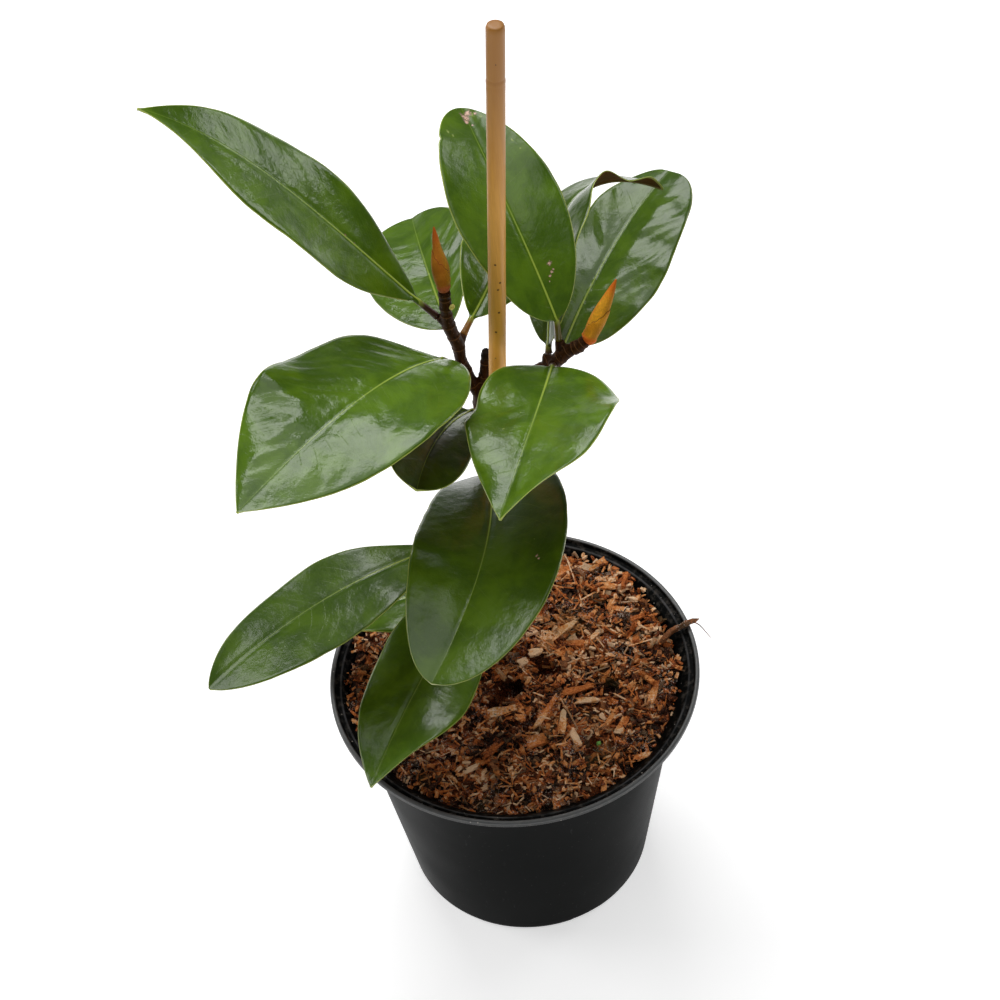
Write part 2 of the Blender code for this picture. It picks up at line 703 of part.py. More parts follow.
def main():
    clear_scene()
    parts = new_collection("potted_magnolia")
    cutters = new_collection("cutters")
    make_pot(parts, cutters)
    make_bark(parts, cutters)
    make_cane(parts)
    make_stem(parts, cutters)
    make_bud("bud_left", LEFT_BUD, parts)
    make_bud("bud_right", RIGHT_BUD, parts)
    for name, spec in LEAVES.items():
        make_leaf(name, spec, parts)


main()
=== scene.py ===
"""The looks of a potted southern magnolia: glossy leaves, woody stem, velvety buds, a bamboo
cane, coarse bark mix and a black nursery pot. Lengths are in millimetres unless a name says
otherwise, and MM turns them into metres. +Z is up and the plant's front is towards -Y.
"""

import math
import random
from types import SimpleNamespace

import bmesh
import bpy
import numpy as np
from mathutils import Matrix, Vector, noise


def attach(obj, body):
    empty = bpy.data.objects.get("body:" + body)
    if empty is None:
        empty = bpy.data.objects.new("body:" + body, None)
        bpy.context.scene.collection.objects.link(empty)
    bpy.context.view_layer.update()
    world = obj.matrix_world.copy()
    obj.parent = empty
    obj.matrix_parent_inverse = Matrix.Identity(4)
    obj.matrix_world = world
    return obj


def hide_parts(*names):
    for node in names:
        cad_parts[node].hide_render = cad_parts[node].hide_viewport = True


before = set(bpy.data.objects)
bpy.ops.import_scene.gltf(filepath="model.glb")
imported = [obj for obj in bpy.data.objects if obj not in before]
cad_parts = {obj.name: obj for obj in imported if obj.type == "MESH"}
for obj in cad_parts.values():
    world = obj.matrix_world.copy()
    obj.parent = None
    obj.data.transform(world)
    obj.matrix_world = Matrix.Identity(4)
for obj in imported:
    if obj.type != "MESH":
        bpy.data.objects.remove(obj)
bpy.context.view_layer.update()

MM = 0.001
GAP = 0.3  # between a stalk's end and its seat on the stem

# Camera
CAMERA_RISE = 48.13  # degrees above the horizon
CAMERA_ROLL = -5.63
CAMERA_AWAY = 1.3  # metres from the point it looks at
LOOK_AT = Vector((0.0014, 0.0, 0.2744))
LENS = 98.07

# The leaves. Shape, as in the part's own source, with headings and slopes in degrees along each
# midrib. at: place on the stem, base, tip: how pointed each end is, fold: rise of the halves,
# tip_from: where the tip starts to turn away
# Finish. tone: brightness of the green, set leaf by leaf to how bright each looks, so it holds
# painted light and shade as well as the leaf's own green, quilt: how far the blade puckers between
# its side veins, streaks: height of the fine streaks, gloss: roughness of the wax, rib: brightness
# of the midrib and the margin, then the painted shade: how bright the green stays near the foot,
# spots: (across, along, radius, kind) of blemishes, nicks: (along, side, depth, length) of dents in
# the margin, lifts: the same for how far it rises, bends: (side, across, start, end, slope across,
# slope along) of parts where the wax leans another way, stalk_fade: where the stalk's colour turns
# to green
LEAF_DEFAULTS = dict(
    curl=0, sweep=0, roll=0, twist=0, kink=10, base=0.75, tip=0.75, fold=9, lopsided=0.0,
    wave_left=0.5, wave_right=0.5, waves=2.0, phase=0, seat=5.4, tip_from=0.7, tip_heading=0,
    tip_rise=0, tip_roll=0, gloss=0.16, rib=1.0, shade=1.0, spots=(), nicks=(), lifts=(), bends=(),
    stalk_colour=(0.085, 0.045, 0.022), stalk_fade=(-3.0, 3.0),
)
LEAVES = {
    "leaf_top_left": dict(
        at=(-14.3, 34.3, 361), seat=6, heading=164, rise=50, droop=10, curl=-31, sweep=20, roll=9,
        twist=-4, stalk=17, kink=-5, length=166, width=53, base=1.0, tip=1.06, fold=5,
        lopsided=-0.07, wave_left=1.9, wave_right=-1.7, phase=23,
        tone=1.08, quilt=0.26, streaks=0.16, stalk_colour=(0.050, 0.018, 0.010),
        spots=[(0.8, 50, 0.7, "tan"), (0.6, 44, 0.5, "tan")],
    ),
    "leaf_back_left": dict(
        at=(-13.2, 35.0, 354), heading=101, rise=0, droop=-30, sweep=-8, roll=25, twist=-6,
        stalk=10, kink=-28, length=118, width=56, base=0.6, tip=0.62, fold=12, lopsided=-0.1,
        tone=1.05, quilt=0.42, streaks=0.20, gloss=0.14, rib=0.85,
        bends=[(1, 7.0, 15.0, 45.0, -0.48, 0.0), (1, 7.0, 42.0, 60.0, 0.0, 0.22)],
    ),
    "leaf_back": dict(
        at=(-11.0, 35.0, 346), heading=56, rise=16, droop=-50, sweep=42, roll=-20, stalk=14,
        kink=7, length=74, width=39, base=0.84, tip=0.72, fold=12,
        tone=1.1, quilt=0.20, streaks=0.14, stalk_colour=(0.26, 0.12, 0.022),
        stalk_fade=(-3.0, 2.0),
    ),
    "leaf_upright": dict(
        at=(36.5, 27.7, 340), seat=9, heading=119, rise=57, droop=-51, sweep=-14, roll=2,
        twist=-23, stalk=21, kink=29, length=115, width=56, base=0.65, tip=0.61, fold=9,
        lopsided=-0.05, wave_left=-1.9, wave_right=-0.1, waves=1.75, phase=7,
        tone=1.1, quilt=0.10, streaks=0.08, gloss=0.24, stalk_colour=(0.110, 0.085, 0.008),
        spots=[
            (3.4, 109.5, 1.7, "yellow"), (7.5, 108.0, 1.5, "yellow"), (-14.4, 98.7, 1.2, "yellow"),
            (-12.5, 96.5, 0.8, "yellow"), (16.1, 89.8, 1.1, "yellow"), (18.0, 84.0, 0.8, "yellow"),
            (0.3, 108.6, 3.0, "pink"), (-0.8, 105.4, 1.7, "pink"), (1.8, 111.0, 2.4, "pink"),
            (1.4, 103.2, 0.7, "pink"), (5.2, 110.0, 1.1, "pink"),
            (6.8, 26.2, 1.3, "pink"), (6.2, 22.0, 0.9, "pink"), (4.7, 20.6, 0.8, "pink"),
            (7.4, 22.9, 0.6, "pink"), (3.6, 18.4, 0.4, "pink"),
        ],
        nicks=[(94.5, -1, 0.9, 1.2)], bends=[(1, 6.0, 60.0, 85.0, 0.20, 0.0)],
    ),
    "leaf_right": dict(
        at=(34.4, 27.0, 338.4), heading=63, rise=17.5, droop=3, curl=-15.5, sweep=-17.5, roll=-5,
        twist=18.5, stalk=9.4, kink=-12, length=106, width=55, base=0.43, tip=0.4, fold=6,
        lopsided=0.21, wave_left=-2.4, wave_right=1.6, phase=-17,
        tone=0.8, quilt=0.75, streaks=0.20, gloss=0.2, rib=0.7, stalk_colour=(0.10, 0.13, 0.030),
        bends=[
            (1, 1.0, 12.0, 30.0, 0.32, 0.0), (1, 10.0, 12.0, 30.0, -0.32, 0.0),
            (1, 1.0, 78.0, 95.0, -0.32, 0.0), (1, 10.0, 78.0, 95.0, 0.32, 0.0),
            (1, 9.0, 50.0, 65.0, -0.2, 0.0),
        ],
    ),
    "leaf_curled_tip": dict(
        at=(29.6, 28.0, 334.2), heading=80, rise=51.5, droop=-75, sweep=-14, roll=44, twist=-9,
        stalk=8.8, kink=8, length=124.5, width=41.5, base=0.66, tip=0.75, fold=8,
        wave_right=-1.9, waves=3, phase=-93, tip_from=0.4, tip_heading=-79, tip_rise=-1,
        tip_roll=4.5, tone=0.65, quilt=0.12, streaks=0.10,
        lifts=[(91.0, 1, 2.4, 6.0), (104.0, 1, -0.8, 4.0), (116.0, 1, 2.4, 5.0)],
    ),
    "leaf_middle_left": dict(
        at=(-9.0, 34.2, 331), seat=7.5, heading=-126, rise=38, droop=-63, curl=15, sweep=-10,
        roll=-7, twist=20, stalk=27, kink=15, length=148, width=85, base=0.74, tip=0.94, fold=5,
        wave_left=1.5, wave_right=4.7, waves=1.9, phase=-3,
        tone=1.12, quilt=0.60, streaks=0.25, gloss=0.14,
        bends=[(1, 12.0, 85.0, 104.0, -0.38, 0.0)],
    ),
    "leaf_front_right": dict(
        at=(33.0, 27.0, 336.5), heading=-101, rise=24, droop=-26, curl=-13, sweep=-11, roll=8,
        twist=-29, stalk=11, kink=12, length=112, width=68, base=0.73, tip=0.98, fold=8,
        lopsided=-0.12, wave_left=2.9, wave_right=2.7, waves=2.28, phase=-46,
        tone=1.22, quilt=0.34, streaks=0.16,
        spots=[
            (11.7, 61, 0.7, "yellow"), (7.0, 59, 0.5, "yellow"), (6.9, 47, 0.4, "yellow"),
            (-13.3, 28, 0.4, "yellow"),
        ],
        nicks=[(46.0, 1, 2.0, 7.0), (62.0, 1, -0.7, 4.0), (57.0, 1, 0.8, 0.8)],
    ),
    "leaf_hanging": dict(
        at=(-3.0, 34.4, 300), seat=8.5, heading=-118, rise=37, droop=-27, sweep=18, roll=9,
        twist=11, stalk=14, kink=13, length=95, width=38, base=0.85, tip=0.39, fold=12,
        tone=0.62, quilt=0.25, streaks=0.14,
    ),
    "leaf_front": dict(
        at=(-6.6, 32.6, 250), seat=9.5, heading=-82, rise=35, droop=-52, curl=3, sweep=-40,
        roll=-13, twist=22, stalk=30, kink=23, length=158, width=72, base=0.56, tip=0.52,
        fold=16, lopsided=-0.1, wave_left=0.4, wave_right=1.5, waves=1.9, phase=-6,
        tone=0.88, quilt=0.12, streaks=0.07, gloss=0.2, rib=0.75, shade=0.3,
        spots=[(-26.8, 89.5, 0.9, "pink"), (-28.0, 91.0, 0.7, "pink"), (-24.0, 80, 0.3, "yellow")],
        bends=[(1, 0.0, 86.0, 106.0, -0.19, 0.0)],
    ),
    "leaf_low_left": dict(
        at=(-7.0, 33.6, 205), heading=-158, rise=9, droop=-32, curl=3, sweep=12, roll=-3,
        stalk=25, kink=19, length=140, width=54, base=0.93, tip=0.78, fold=5, lopsided=-0.18,
        wave_left=-0.6, wave_right=-2.2, waves=1.73, phase=49,
        tone=0.80, quilt=0.14, streaks=0.08, gloss=0.22, rib=0.7,
        spots=[(-25.8, 80, 0.4, "yellow")], bends=[(1, 0.0, 42.0, 60.0, 0.0, -0.2)],
    ),
    "leaf_low_behind": dict(
        at=(-7.0, 33.6, 178), seat=6, heading=-174, rise=-7, droop=-5, curl=3, sweep=-3, roll=1,
        twist=-7, stalk=11, kink=14, length=94, width=45, base=0.68, tip=0.82, fold=10,
        wave_left=-2.8, wave_right=0, waves=2.2, phase=15, tone=1.1, quilt=0.10, streaks=0.08,
    ),
    "leaf_low_front": dict(
        at=(-6.4, 33.0, 187), heading=-124, rise=-7, droop=-8, curl=-3, sweep=6, roll=4,
        twist=-21, stalk=17, kink=11, length=118, width=58, base=0.7, tip=0.86, fold=6,
        lopsided=-0.06, wave_left=-4.8, wave_right=2.9, waves=1.66, phase=-15,
        tone=1.05, quilt=0.12, streaks=0.07, gloss=0.2, rib=0.75,
    ),
}
LEAVES = {name: SimpleNamespace(**{**LEAF_DEFAULTS, **spec}) for name, spec in LEAVES.items()}
SPOT_COLOURS = {"pink": (0.85, 0.56, 0.42), "tan": (0.30, 0.20, 0.08), "yellow": (0.42, 0.52, 0.14)}
STALK_R = 1.5
BLADE = 0.65  # thickness of a blade away from its midrib
VEIN_SPACING = 8.5  # between side veins along the midrib
VEIN_LEAN = 0.62  # how far a side vein runs towards the tip for each mm across
SWAY = 0.7  # slow unevenness of a blade
STALK_BEND = 4.5  # how far on each side the bend between stalk and blade is made round
LEAF_STATIONS = 120
LEAF_COLUMNS = 25  # on each half of the upper side


def ease(value, start, end):
    """Smooth step from 0 at start to 1 at end, for numbers and arrays."""
    t = np.clip((value - start) / (end - start), 0.0, 1.0)
    return t * t * (3.0 - 2.0 * t)


def times(factor, colour):
    return tuple(factor * c for c in colour)


class Wire:
    """A node's output. Sums with it add nodes to its material."""

    def __init__(self, paint, socket):
        self.paint = paint
        self.socket = socket

    def math(self, operation, b=0.0, c=0.0):
        return self.paint.add("ShaderNodeMath", {0: self, 1: b, 2: c}, operation=operation)

    def __add__(self, other):
        return self.math("ADD", other)

    def __sub__(self, other):
        return self.math("SUBTRACT", other)

    def __mul__(self, other):
        return self.math("MULTIPLY", other)

    def __abs__(self):
        return self.math("ABSOLUTE")

    def ease(self, start, end, low=0.0, high=1.0):
        return self.paint.add(
            "ShaderNodeMapRange", {0: self, 1: start, 2: end, 3: low, 4: high},
            interpolation_type="SMOOTHSTEP",
        )

    def split(self):
        node = self.paint.add("ShaderNodeSeparateXYZ", {0: self}).socket.node
        return [Wire(self.paint, output) for output in node.outputs]


class Paint:
    """A node material, whose colour is built up in layers."""

    def __init__(self, name, **settings):
        self.material = bpy.data.materials.new(name)
        self.material.use_nodes = True
        self.tree = self.material.node_tree
        self.shader = self.tree.nodes["Principled BSDF"]
        self.colour = None
        for socket, value in settings.items():
            self.shader.inputs[socket.replace("_", " ")].default_value = value

    def add(self, kind, inputs, out=0, **settings):
        """Adds a node, with wires or plain values on its inputs."""
        node = self.tree.nodes.new(kind)
        for key, value in settings.items():
            setattr(node, key, value)
        for key, value in inputs.items():
            if isinstance(value, Wire):
                self.tree.links.new(value.socket, node.inputs[key])
            else:
                node.inputs[key].default_value = value
        return Wire(self, node.outputs[out])

    def mix(self, share, a, b):
        a, b = [(*c, 1.0) if isinstance(c, tuple) else c for c in (a, b)]
        return self.add("ShaderNodeMix", {0: share, 6: a, 7: b}, out=2, data_type="RGBA")

    def layer(self, share, colour):
        """Lays a colour over what there is, where share is above 0."""
        self.colour = self.mix(share, self.colour, colour)

    def ramp(self, value, stops):
        """Colours at places from 0 to 1, blended in between."""
        found = self.add("ShaderNodeValToRGB", {0: value})
        points = found.socket.node.color_ramp.elements
        for point, (position, colour) in zip(points, (stops[0], stops[-1])):
            point.position = position
            point.color = (*colour, 1.0)
        for position, colour in stops[1:-1]:
            points.new(position).color = (*colour, 1.0)
        return found

    def noise(self, place, scale, detail=3.0, roughness=0.5, distortion=0.0):
        return self.add("ShaderNodeTexNoise", {
            "Vector": place, "Scale": scale, "Detail": detail, "Roughness": roughness,
            "Distortion": distortion,
        })

    def cells(self, place, scale, feature="F1"):
        return self.add("ShaderNodeTexVoronoi", {"Vector": place, "Scale": scale}, feature=feature)

    def distance(self, place, point):
        return self.add("ShaderNodeVectorMath", {0: place, 1: point}, out=1, operation="DISTANCE")

    def attribute(self, name, out="Vector"):
        return self.add("ShaderNodeAttribute", {}, out=out, attribute_name=name)

    def place(self, x=1.0, y=1.0, z=1.0):
        """The object's own coordinates in millimetres, stretched for grain."""
        here = self.add("ShaderNodeTexCoord", {}, out="Object")
        stretch = times(1000.0, (x, y, z))
        return self.add("ShaderNodeVectorMath", {0: here, 1: stretch}, operation="MULTIPLY")

    def join(self, x, y, z=0.0):
        return self.add("ShaderNodeCombineXYZ", {0: x, 1: y, 2: z})

    def finish(self, roughness, height=None, coat=False):
        """Links the results; height is in millimetres."""
        links = {"Base Color": self.colour, "Roughness": roughness}
        if height is not None:
            bump = self.add("ShaderNodeBump", {"Height": height, "Distance": MM})
            links["Normal"] = bump
            if coat:
                links["Coat Normal"] = bump
        for socket, wire in links.items():
            self.tree.links.new(wire.socket, self.shader.inputs[socket])
        return self.material


def new_object(name, mesh, *materials):
    obj = bpy.data.objects.new(name, mesh)
    bpy.context.scene.collection.objects.link(obj)
    for material in materials:
        mesh.materials.append(material)
    return obj


def mesh_from(name, points, faces, smooth=True):
    """A mesh from points in metres."""
    mesh = bpy.data.meshes.new(name)
    mesh.from_pydata([tuple(p) for p in points], [], faces)
    mesh.validate()
    mesh.polygons.foreach_set("use_smooth", [smooth] * len(mesh.polygons))
    mesh.update()
    return mesh


def taken(bm, name):
    """The bmesh as a mesh; the bmesh is freed."""
    mesh = bpy.data.meshes.new(name)
    bm.to_mesh(mesh)
    bm.free()
    return mesh


def store(mesh, name, kind, values):
    """A value for each vertex: kind FLOAT or FLOAT_VECTOR."""
    attribute = mesh.attributes.new(name, kind, "POINT")
    key = "value" if kind == "FLOAT" else "vector"
    attribute.data.foreach_set(key, np.asarray(values, np.float32).ravel())


def settle(piece, node):
    """The piece stands for the CAD node, which is hidden, and rides with the root body."""
    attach(piece, "root")
    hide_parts(node)


def add_to(piece):
    """An extra piece that replaces nothing."""
    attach(piece, "root")


def bake_modifiers(obj):
    graph = bpy.context.evaluated_depsgraph_get()
    graph.update()
    mesh = bpy.data.meshes.new_from_object(obj.evaluated_get(graph))
    obj.modifiers.clear()
    old = obj.data
    obj.data = mesh
    bpy.data.meshes.remove(old)


def unit(vectors):
    return vectors / np.linalg.norm(vectors, axis=-1, keepdims=True)


def smooth_run(run, step):
    """Points every step mm on a Catmull-Rom curve through (point, radius) pairs."""
    knots = [np.array((*p, r), float) for p, r in run]
    knots = [2 * knots[0] - knots[1], *knots, 2 * knots[-1] - knots[-2]]
    found = []
    for a, b, c, d in zip(knots, knots[1:], knots[2:], knots[3:]):
        count = max(2, round(np.linalg.norm(c[:3] - b[:3]) / step))
        for i in range(count):
            t = i / count
            found.append(0.5 * (
                2 * b + (c - a) * t + (2 * a - 5 * b + 4 * c - d) * t * t
                + (3 * b - a - 3 * c + d) * t ** 3
            ))
    found.append(knots[-2])
    found = np.array(found)
    return found[:, :3], np.maximum(found[:, 3], 0.05)


def lengths_along(places):
    """Distance of each place from the first one, along the run."""
    steps = np.linalg.norm(np.diff(places, axis=0), axis=1)
    return np.concatenate(((0.0,), np.cumsum(steps)))


def circle(sides):
    return np.linspace(0, 2 * np.pi, sides, endpoint=False)


def ring(r, z, angles):
    return [(r * math.cos(a), r * math.sin(a), z) for a in angles]


def strip(first, second, sides):
    """Faces between two rings, each given by the number of its first point."""
    turns = [(j, (j + 1) % sides) for j in range(sides)]
    return [(first + j, first + k, second + k, second + j) for j, k in turns]


def loft(places, radii, sides, shape=None):
    """Closed round bar. shape(i, angles) scales the radius of ring i round its section."""
    directions = unit(np.gradient(places, axis=0))
    side = np.cross(directions[0], (0.0, 1.0, 0.0))
    angles = circle(sides)
    points = []
    for i, (place, direction) in enumerate(zip(places, directions)):
        side = unit(side - direction * side.dot(direction))
        other = np.cross(direction, side)
        r = radii[i] * (shape(i, angles) if shape else np.ones(sides))
        points.extend(place + np.outer(np.cos(angles) * r, side) + np.outer(np.sin(angles) * r, other))
    last = (len(places) - 1) * sides
    faces = []
    for first in range(0, last, sides):
        faces += strip(first, first + sides, sides)
    faces.append(tuple(reversed(range(sides))))
    faces.append(tuple(range(last, last + sides)))
    return np.array(points), faces


def shell(name, points, sides):
    """Closed mesh round the z axis: a first point, rings of points and perhaps a last point."""
    rings = (len(points) - 1) // sides
    faces = [(0, 1 + j, 1 + (j + 1) % sides) for j in range(sides)]
    for i in range(1, rings):
        faces += strip(1 + i * sides, 1 + (i - 1) * sides, sides)
    last = 1 + (rings - 1) * sides
    end = last + sides
    if len(points) > end:
        faces += [(end, last + (j + 1) % sides, last + j) for j in range(sides)]
    else:
        faces.append(tuple(reversed(range(last, end))))
    return mesh_from(name, np.array(points) * MM, faces)


def joined(parts):
    """Several (points, faces) as one."""
    faces = []
    first = 0
    for points, part_faces in parts:
        faces += [tuple(first + k for k in face) for face in part_faces]
        first += len(points)
    return np.vstack([points for points, _ in parts]), faces


# Leaves

def heading_to(heading, rise):
    """Unit vectors from angles in radians."""
    return np.stack(
        (np.cos(rise) * np.cos(heading), np.cos(rise) * np.sin(heading), np.sin(rise)), -1
    )


def stalk_direction(leaf):
    return heading_to(math.radians(leaf.heading), math.radians(leaf.rise + leaf.kink))


def blade_axes(leaf, s):
    """Directions along the blade and across it to the right."""
    turn = ease(s, leaf.tip_from, 1.0)
    heading = np.radians(leaf.heading + leaf.sweep * s + leaf.tip_heading * turn)
    rise = np.radians(leaf.rise + leaf.droop * s + leaf.curl * s ** 3 + leaf.tip_rise * turn)
    roll = np.radians(leaf.roll + leaf.twist * s + leaf.tip_roll * turn)[:, None]
    along = heading_to(heading, rise)
    level = np.stack((np.sin(heading), -np.cos(heading), np.zeros_like(heading)), -1)
    return along, np.cos(roll) * level + np.sin(roll) * np.cross(level, along)


def half_width(leaf, s):
    a = leaf.base
    b = leaf.tip
    widest = a / (a + b)
    peak = widest ** a * (1.0 - widest) ** b
    return leaf.width / 2.0 * s ** a * (1.0 - s) ** b / peak


def leaf_spine(leaf, stations):
    """Place and axes at distances from the blade's foot, below 0 on the stalk. The bend where
    the stalk meets the blade is made round."""
    free = leaf.stalk - leaf.seat - GAP
    fine = np.linspace(-free, leaf.length, 500)
    step = fine[1] - fine[0]
    along, across = blade_axes(leaf, np.clip(fine / leaf.length, 0.0, 1.0))
    stalk = stalk_direction(leaf)
    side = unit(across[0] - stalk * across[0].dot(stalk))
    along[fine < 0] = stalk
    across[fine < 0] = side
    reach = round(STALK_BEND / step)
    weights = np.hanning(2 * reach + 3)[1:-1]
    weights /= weights.sum()

    def soften(vectors):
        padded = np.pad(vectors, ((reach, reach), (0, 0)), mode="edge")
        return unit(np.stack([np.convolve(padded[:, k], weights, "valid") for k in range(3)], -1))

    along = soften(along)
    face = unit(np.cross(soften(across), along))
    across = np.cross(along, face)
    start = np.array(leaf.at) + stalk * (leaf.seat + GAP)
    moves = (along[1:] + along[:-1]) * step / 2
    places = start + np.vstack((np.zeros(3), np.cumsum(moves, axis=0)))
    return [
        np.stack([np.interp(stations, fine, vectors[:, k]) for k in range(3)], -1)
        for vectors in (places, across, face)
    ]


def rough_field(x, y, seed, scale):
    """Smooth noise from -1 to 1 at every point of two arrays of millimetres."""
    x, y = np.broadcast_arrays(x, y)
    found = [
        noise.noise(Vector((a / scale, b / scale, seed))) for a, b in zip(x.ravel(), y.ravel())
    ]
    return np.array(found).reshape(x.shape)


def leaf_mesh(name, leaf, seed):
    """Blade and stalk: a fine upper side and a coarser lower one, in rows from the stem."""
    free = leaf.stalk - leaf.seat - GAP
    even = np.linspace(0.0, 1.0, LEAF_STATIONS)
    s = 0.55 * even + 0.45 * (1.0 - np.cos(np.pi * even)) / 2.0
    on_stalk = np.linspace(-free, 0.0, max(4, round(free / 1.5)), endpoint=False)
    t = np.concatenate((on_stalk, s * leaf.length))
    place, across, face = leaf_spine(leaf, t)

    # s and t run along the leaf, as a share and in mm; u runs from -1 to 1 across it
    half = np.linspace(0.0, 1.0, LEAF_COLUMNS) ** 1.35
    u = np.concatenate((-half[::-1], half[1:]))[None, :]
    s = np.clip(t / leaf.length, 0.0, 1.0)[:, None]
    t = t[:, None]
    right = u > 0
    side = np.where(right, 1.0, -1.0)
    near_edge = ease(np.abs(u), 0.93, 1.0)
    wide = half_width(leaf, s)
    for at, nick_side, depth, length in leaf.nicks:
        near = np.exp(-((t - at) / length) ** 2) * (side == nick_side)
        wide = wide * (1.0 - near * depth / np.maximum(wide, 1.0))
    wavy_edge = 1.0 + 0.012 * rough_field(t, 40.0 * side, seed, 9.0)
    share = (1.0 + leaf.lopsided * side) * wavy_edge
    reach = np.maximum(wide * share, 0.5) * np.abs(u)
    flat = np.where(s < 0.5, ease(half_width(leaf, s), 0.6, 5.0), 1.0)
    stalk_r = np.interp(t, (-free, -0.7 * free, -0.3 * free), (1.9, 1.65, STALK_R))
    rib_r = stalk_r * (1.0 - 0.72 * s)
    swell = np.sqrt(np.clip(4.0 * s * (1.0 - s), 0.0, 1.0))
    size = np.where(right, leaf.wave_right, leaf.wave_left)
    phase = math.radians(leaf.phase) + np.where(right, 0.0, 2.0)
    wave = size * u * u * swell * np.sin(2 * math.pi * leaf.waves * s + phase)
    for at, lift_side, rise, length in leaf.lifts:
        wave = wave + rise * u * u * np.exp(-((t - at) / length) ** 2) * (side == lift_side)

    # The blade puckers up between its side veins, which lean towards the tip
    vein = (t - VEIN_LEAN * reach * (1.0 + 0.5 * u * u)) / VEIN_SPACING
    vein = vein + 0.8 * rough_field(t, side * reach, seed + 3.0, 26.0) + 0.45 * right
    inside = ease(reach, 1.0, 8.0) * (1.0 - 0.85 * ease(np.abs(u), 0.8, 0.99)) * swell
    lumps = rough_field(vein * VEIN_SPACING, 0.65 * side * reach, seed + 7.0, 7.0)
    pucker = leaf.quilt * (0.35 * (np.abs(np.sin(math.pi * vein)) - 0.6) + lumps) * inside
    lie = SWAY * rough_field(t * 0.8, side * reach, seed + 11.0, 19.0) * inside
    valley = -0.45 * (1.0 - ease(reach, 0.4, 3.4)) * (1.0 - 0.6 * s)
    ridge = 0.35 * (1.0 - ease(reach, 0.0, 1.0)) * (1.0 - 0.8 * s)
    turned_down = -0.45 * near_edge * swell

    fold = math.radians(leaf.fold)
    x = side * reach * math.cos(fold)
    top = reach * math.sin(fold) + wave + pucker + lie + valley + ridge + turned_down
    bottom = top - BLADE - rib_r * 1.3 * (1.0 - ease(reach, 0.0, 2.6)) + 0.35 * near_edge
    turn = np.radians(77.0) * u
    x_here = (1.0 - flat) * rib_r * np.sin(turn) + flat * x
    top_here = (1.0 - flat) * (rib_r * np.cos(turn) - 0.5 * rib_r) + flat * top
    bottom_here = (1.0 - flat) * (-rib_r * np.cos(turn) - 0.5 * rib_r) + flat * bottom

    middle = place[:, None, :] + across[:, None, :] * x_here[..., None]
    upper_points = middle + face[:, None, :] * top_here[..., None]
    under = slice(None, None, 2)
    lower_points = (middle + face[:, None, :] * bottom_here[..., None])[:, under]
    rows, columns = upper_points.shape[:2]
    below = lower_points.shape[1]
    points = np.concatenate((upper_points.reshape(-1, 3), lower_points.reshape(-1, 3))) * MM
    edge = np.maximum(wide * share, 0.0) * (1.0 - np.abs(u)) + 6.0 * (1.0 - flat)
    maps = np.stack((side * reach * np.sign(np.abs(u)), t + 0 * u, edge), -1)
    kinds = np.stack((vein, np.abs(u) + 0 * t, s + 0 * u), -1)

    first_low = rows * columns
    faces = []
    slots = []
    for i in range(rows - 1):
        up = i * columns
        low = first_low + i * below
        faces += [(a, a + 1, a + 1 + columns, a + columns) for a in range(up, up + columns - 1)]
        faces += [(a + 1, a, a + below, a + below + 1) for a in range(low, low + below - 1)]
        a = up + columns - 1
        b = low + below - 1
        faces += [(a, b, b + below, a + columns), (low, up, up + columns, low + below)]
        slots += [0] * (columns - 1) + [int(t[i, 0] >= 0.0)] * (below - 1) + [0, 0]
    for i, order in ((0, -1), (rows - 1, 1)):
        around = list(range(i * columns, (i + 1) * columns))
        around += reversed(range(first_low + i * below, first_low + (i + 1) * below))
        faces.append(tuple(around[::order]))
        slots.append(0)
    mesh = mesh_from(name, points, faces)
    mesh.polygons.foreach_set("material_index", slots)
    for key, values in (("leaf_map", maps), ("leaf_kind", kinds)):
        both = (values.reshape(-1, 3), values[:, under].reshape(-1, 3))
        store(mesh, key, "FLOAT_VECTOR", np.concatenate(both))
    return mesh


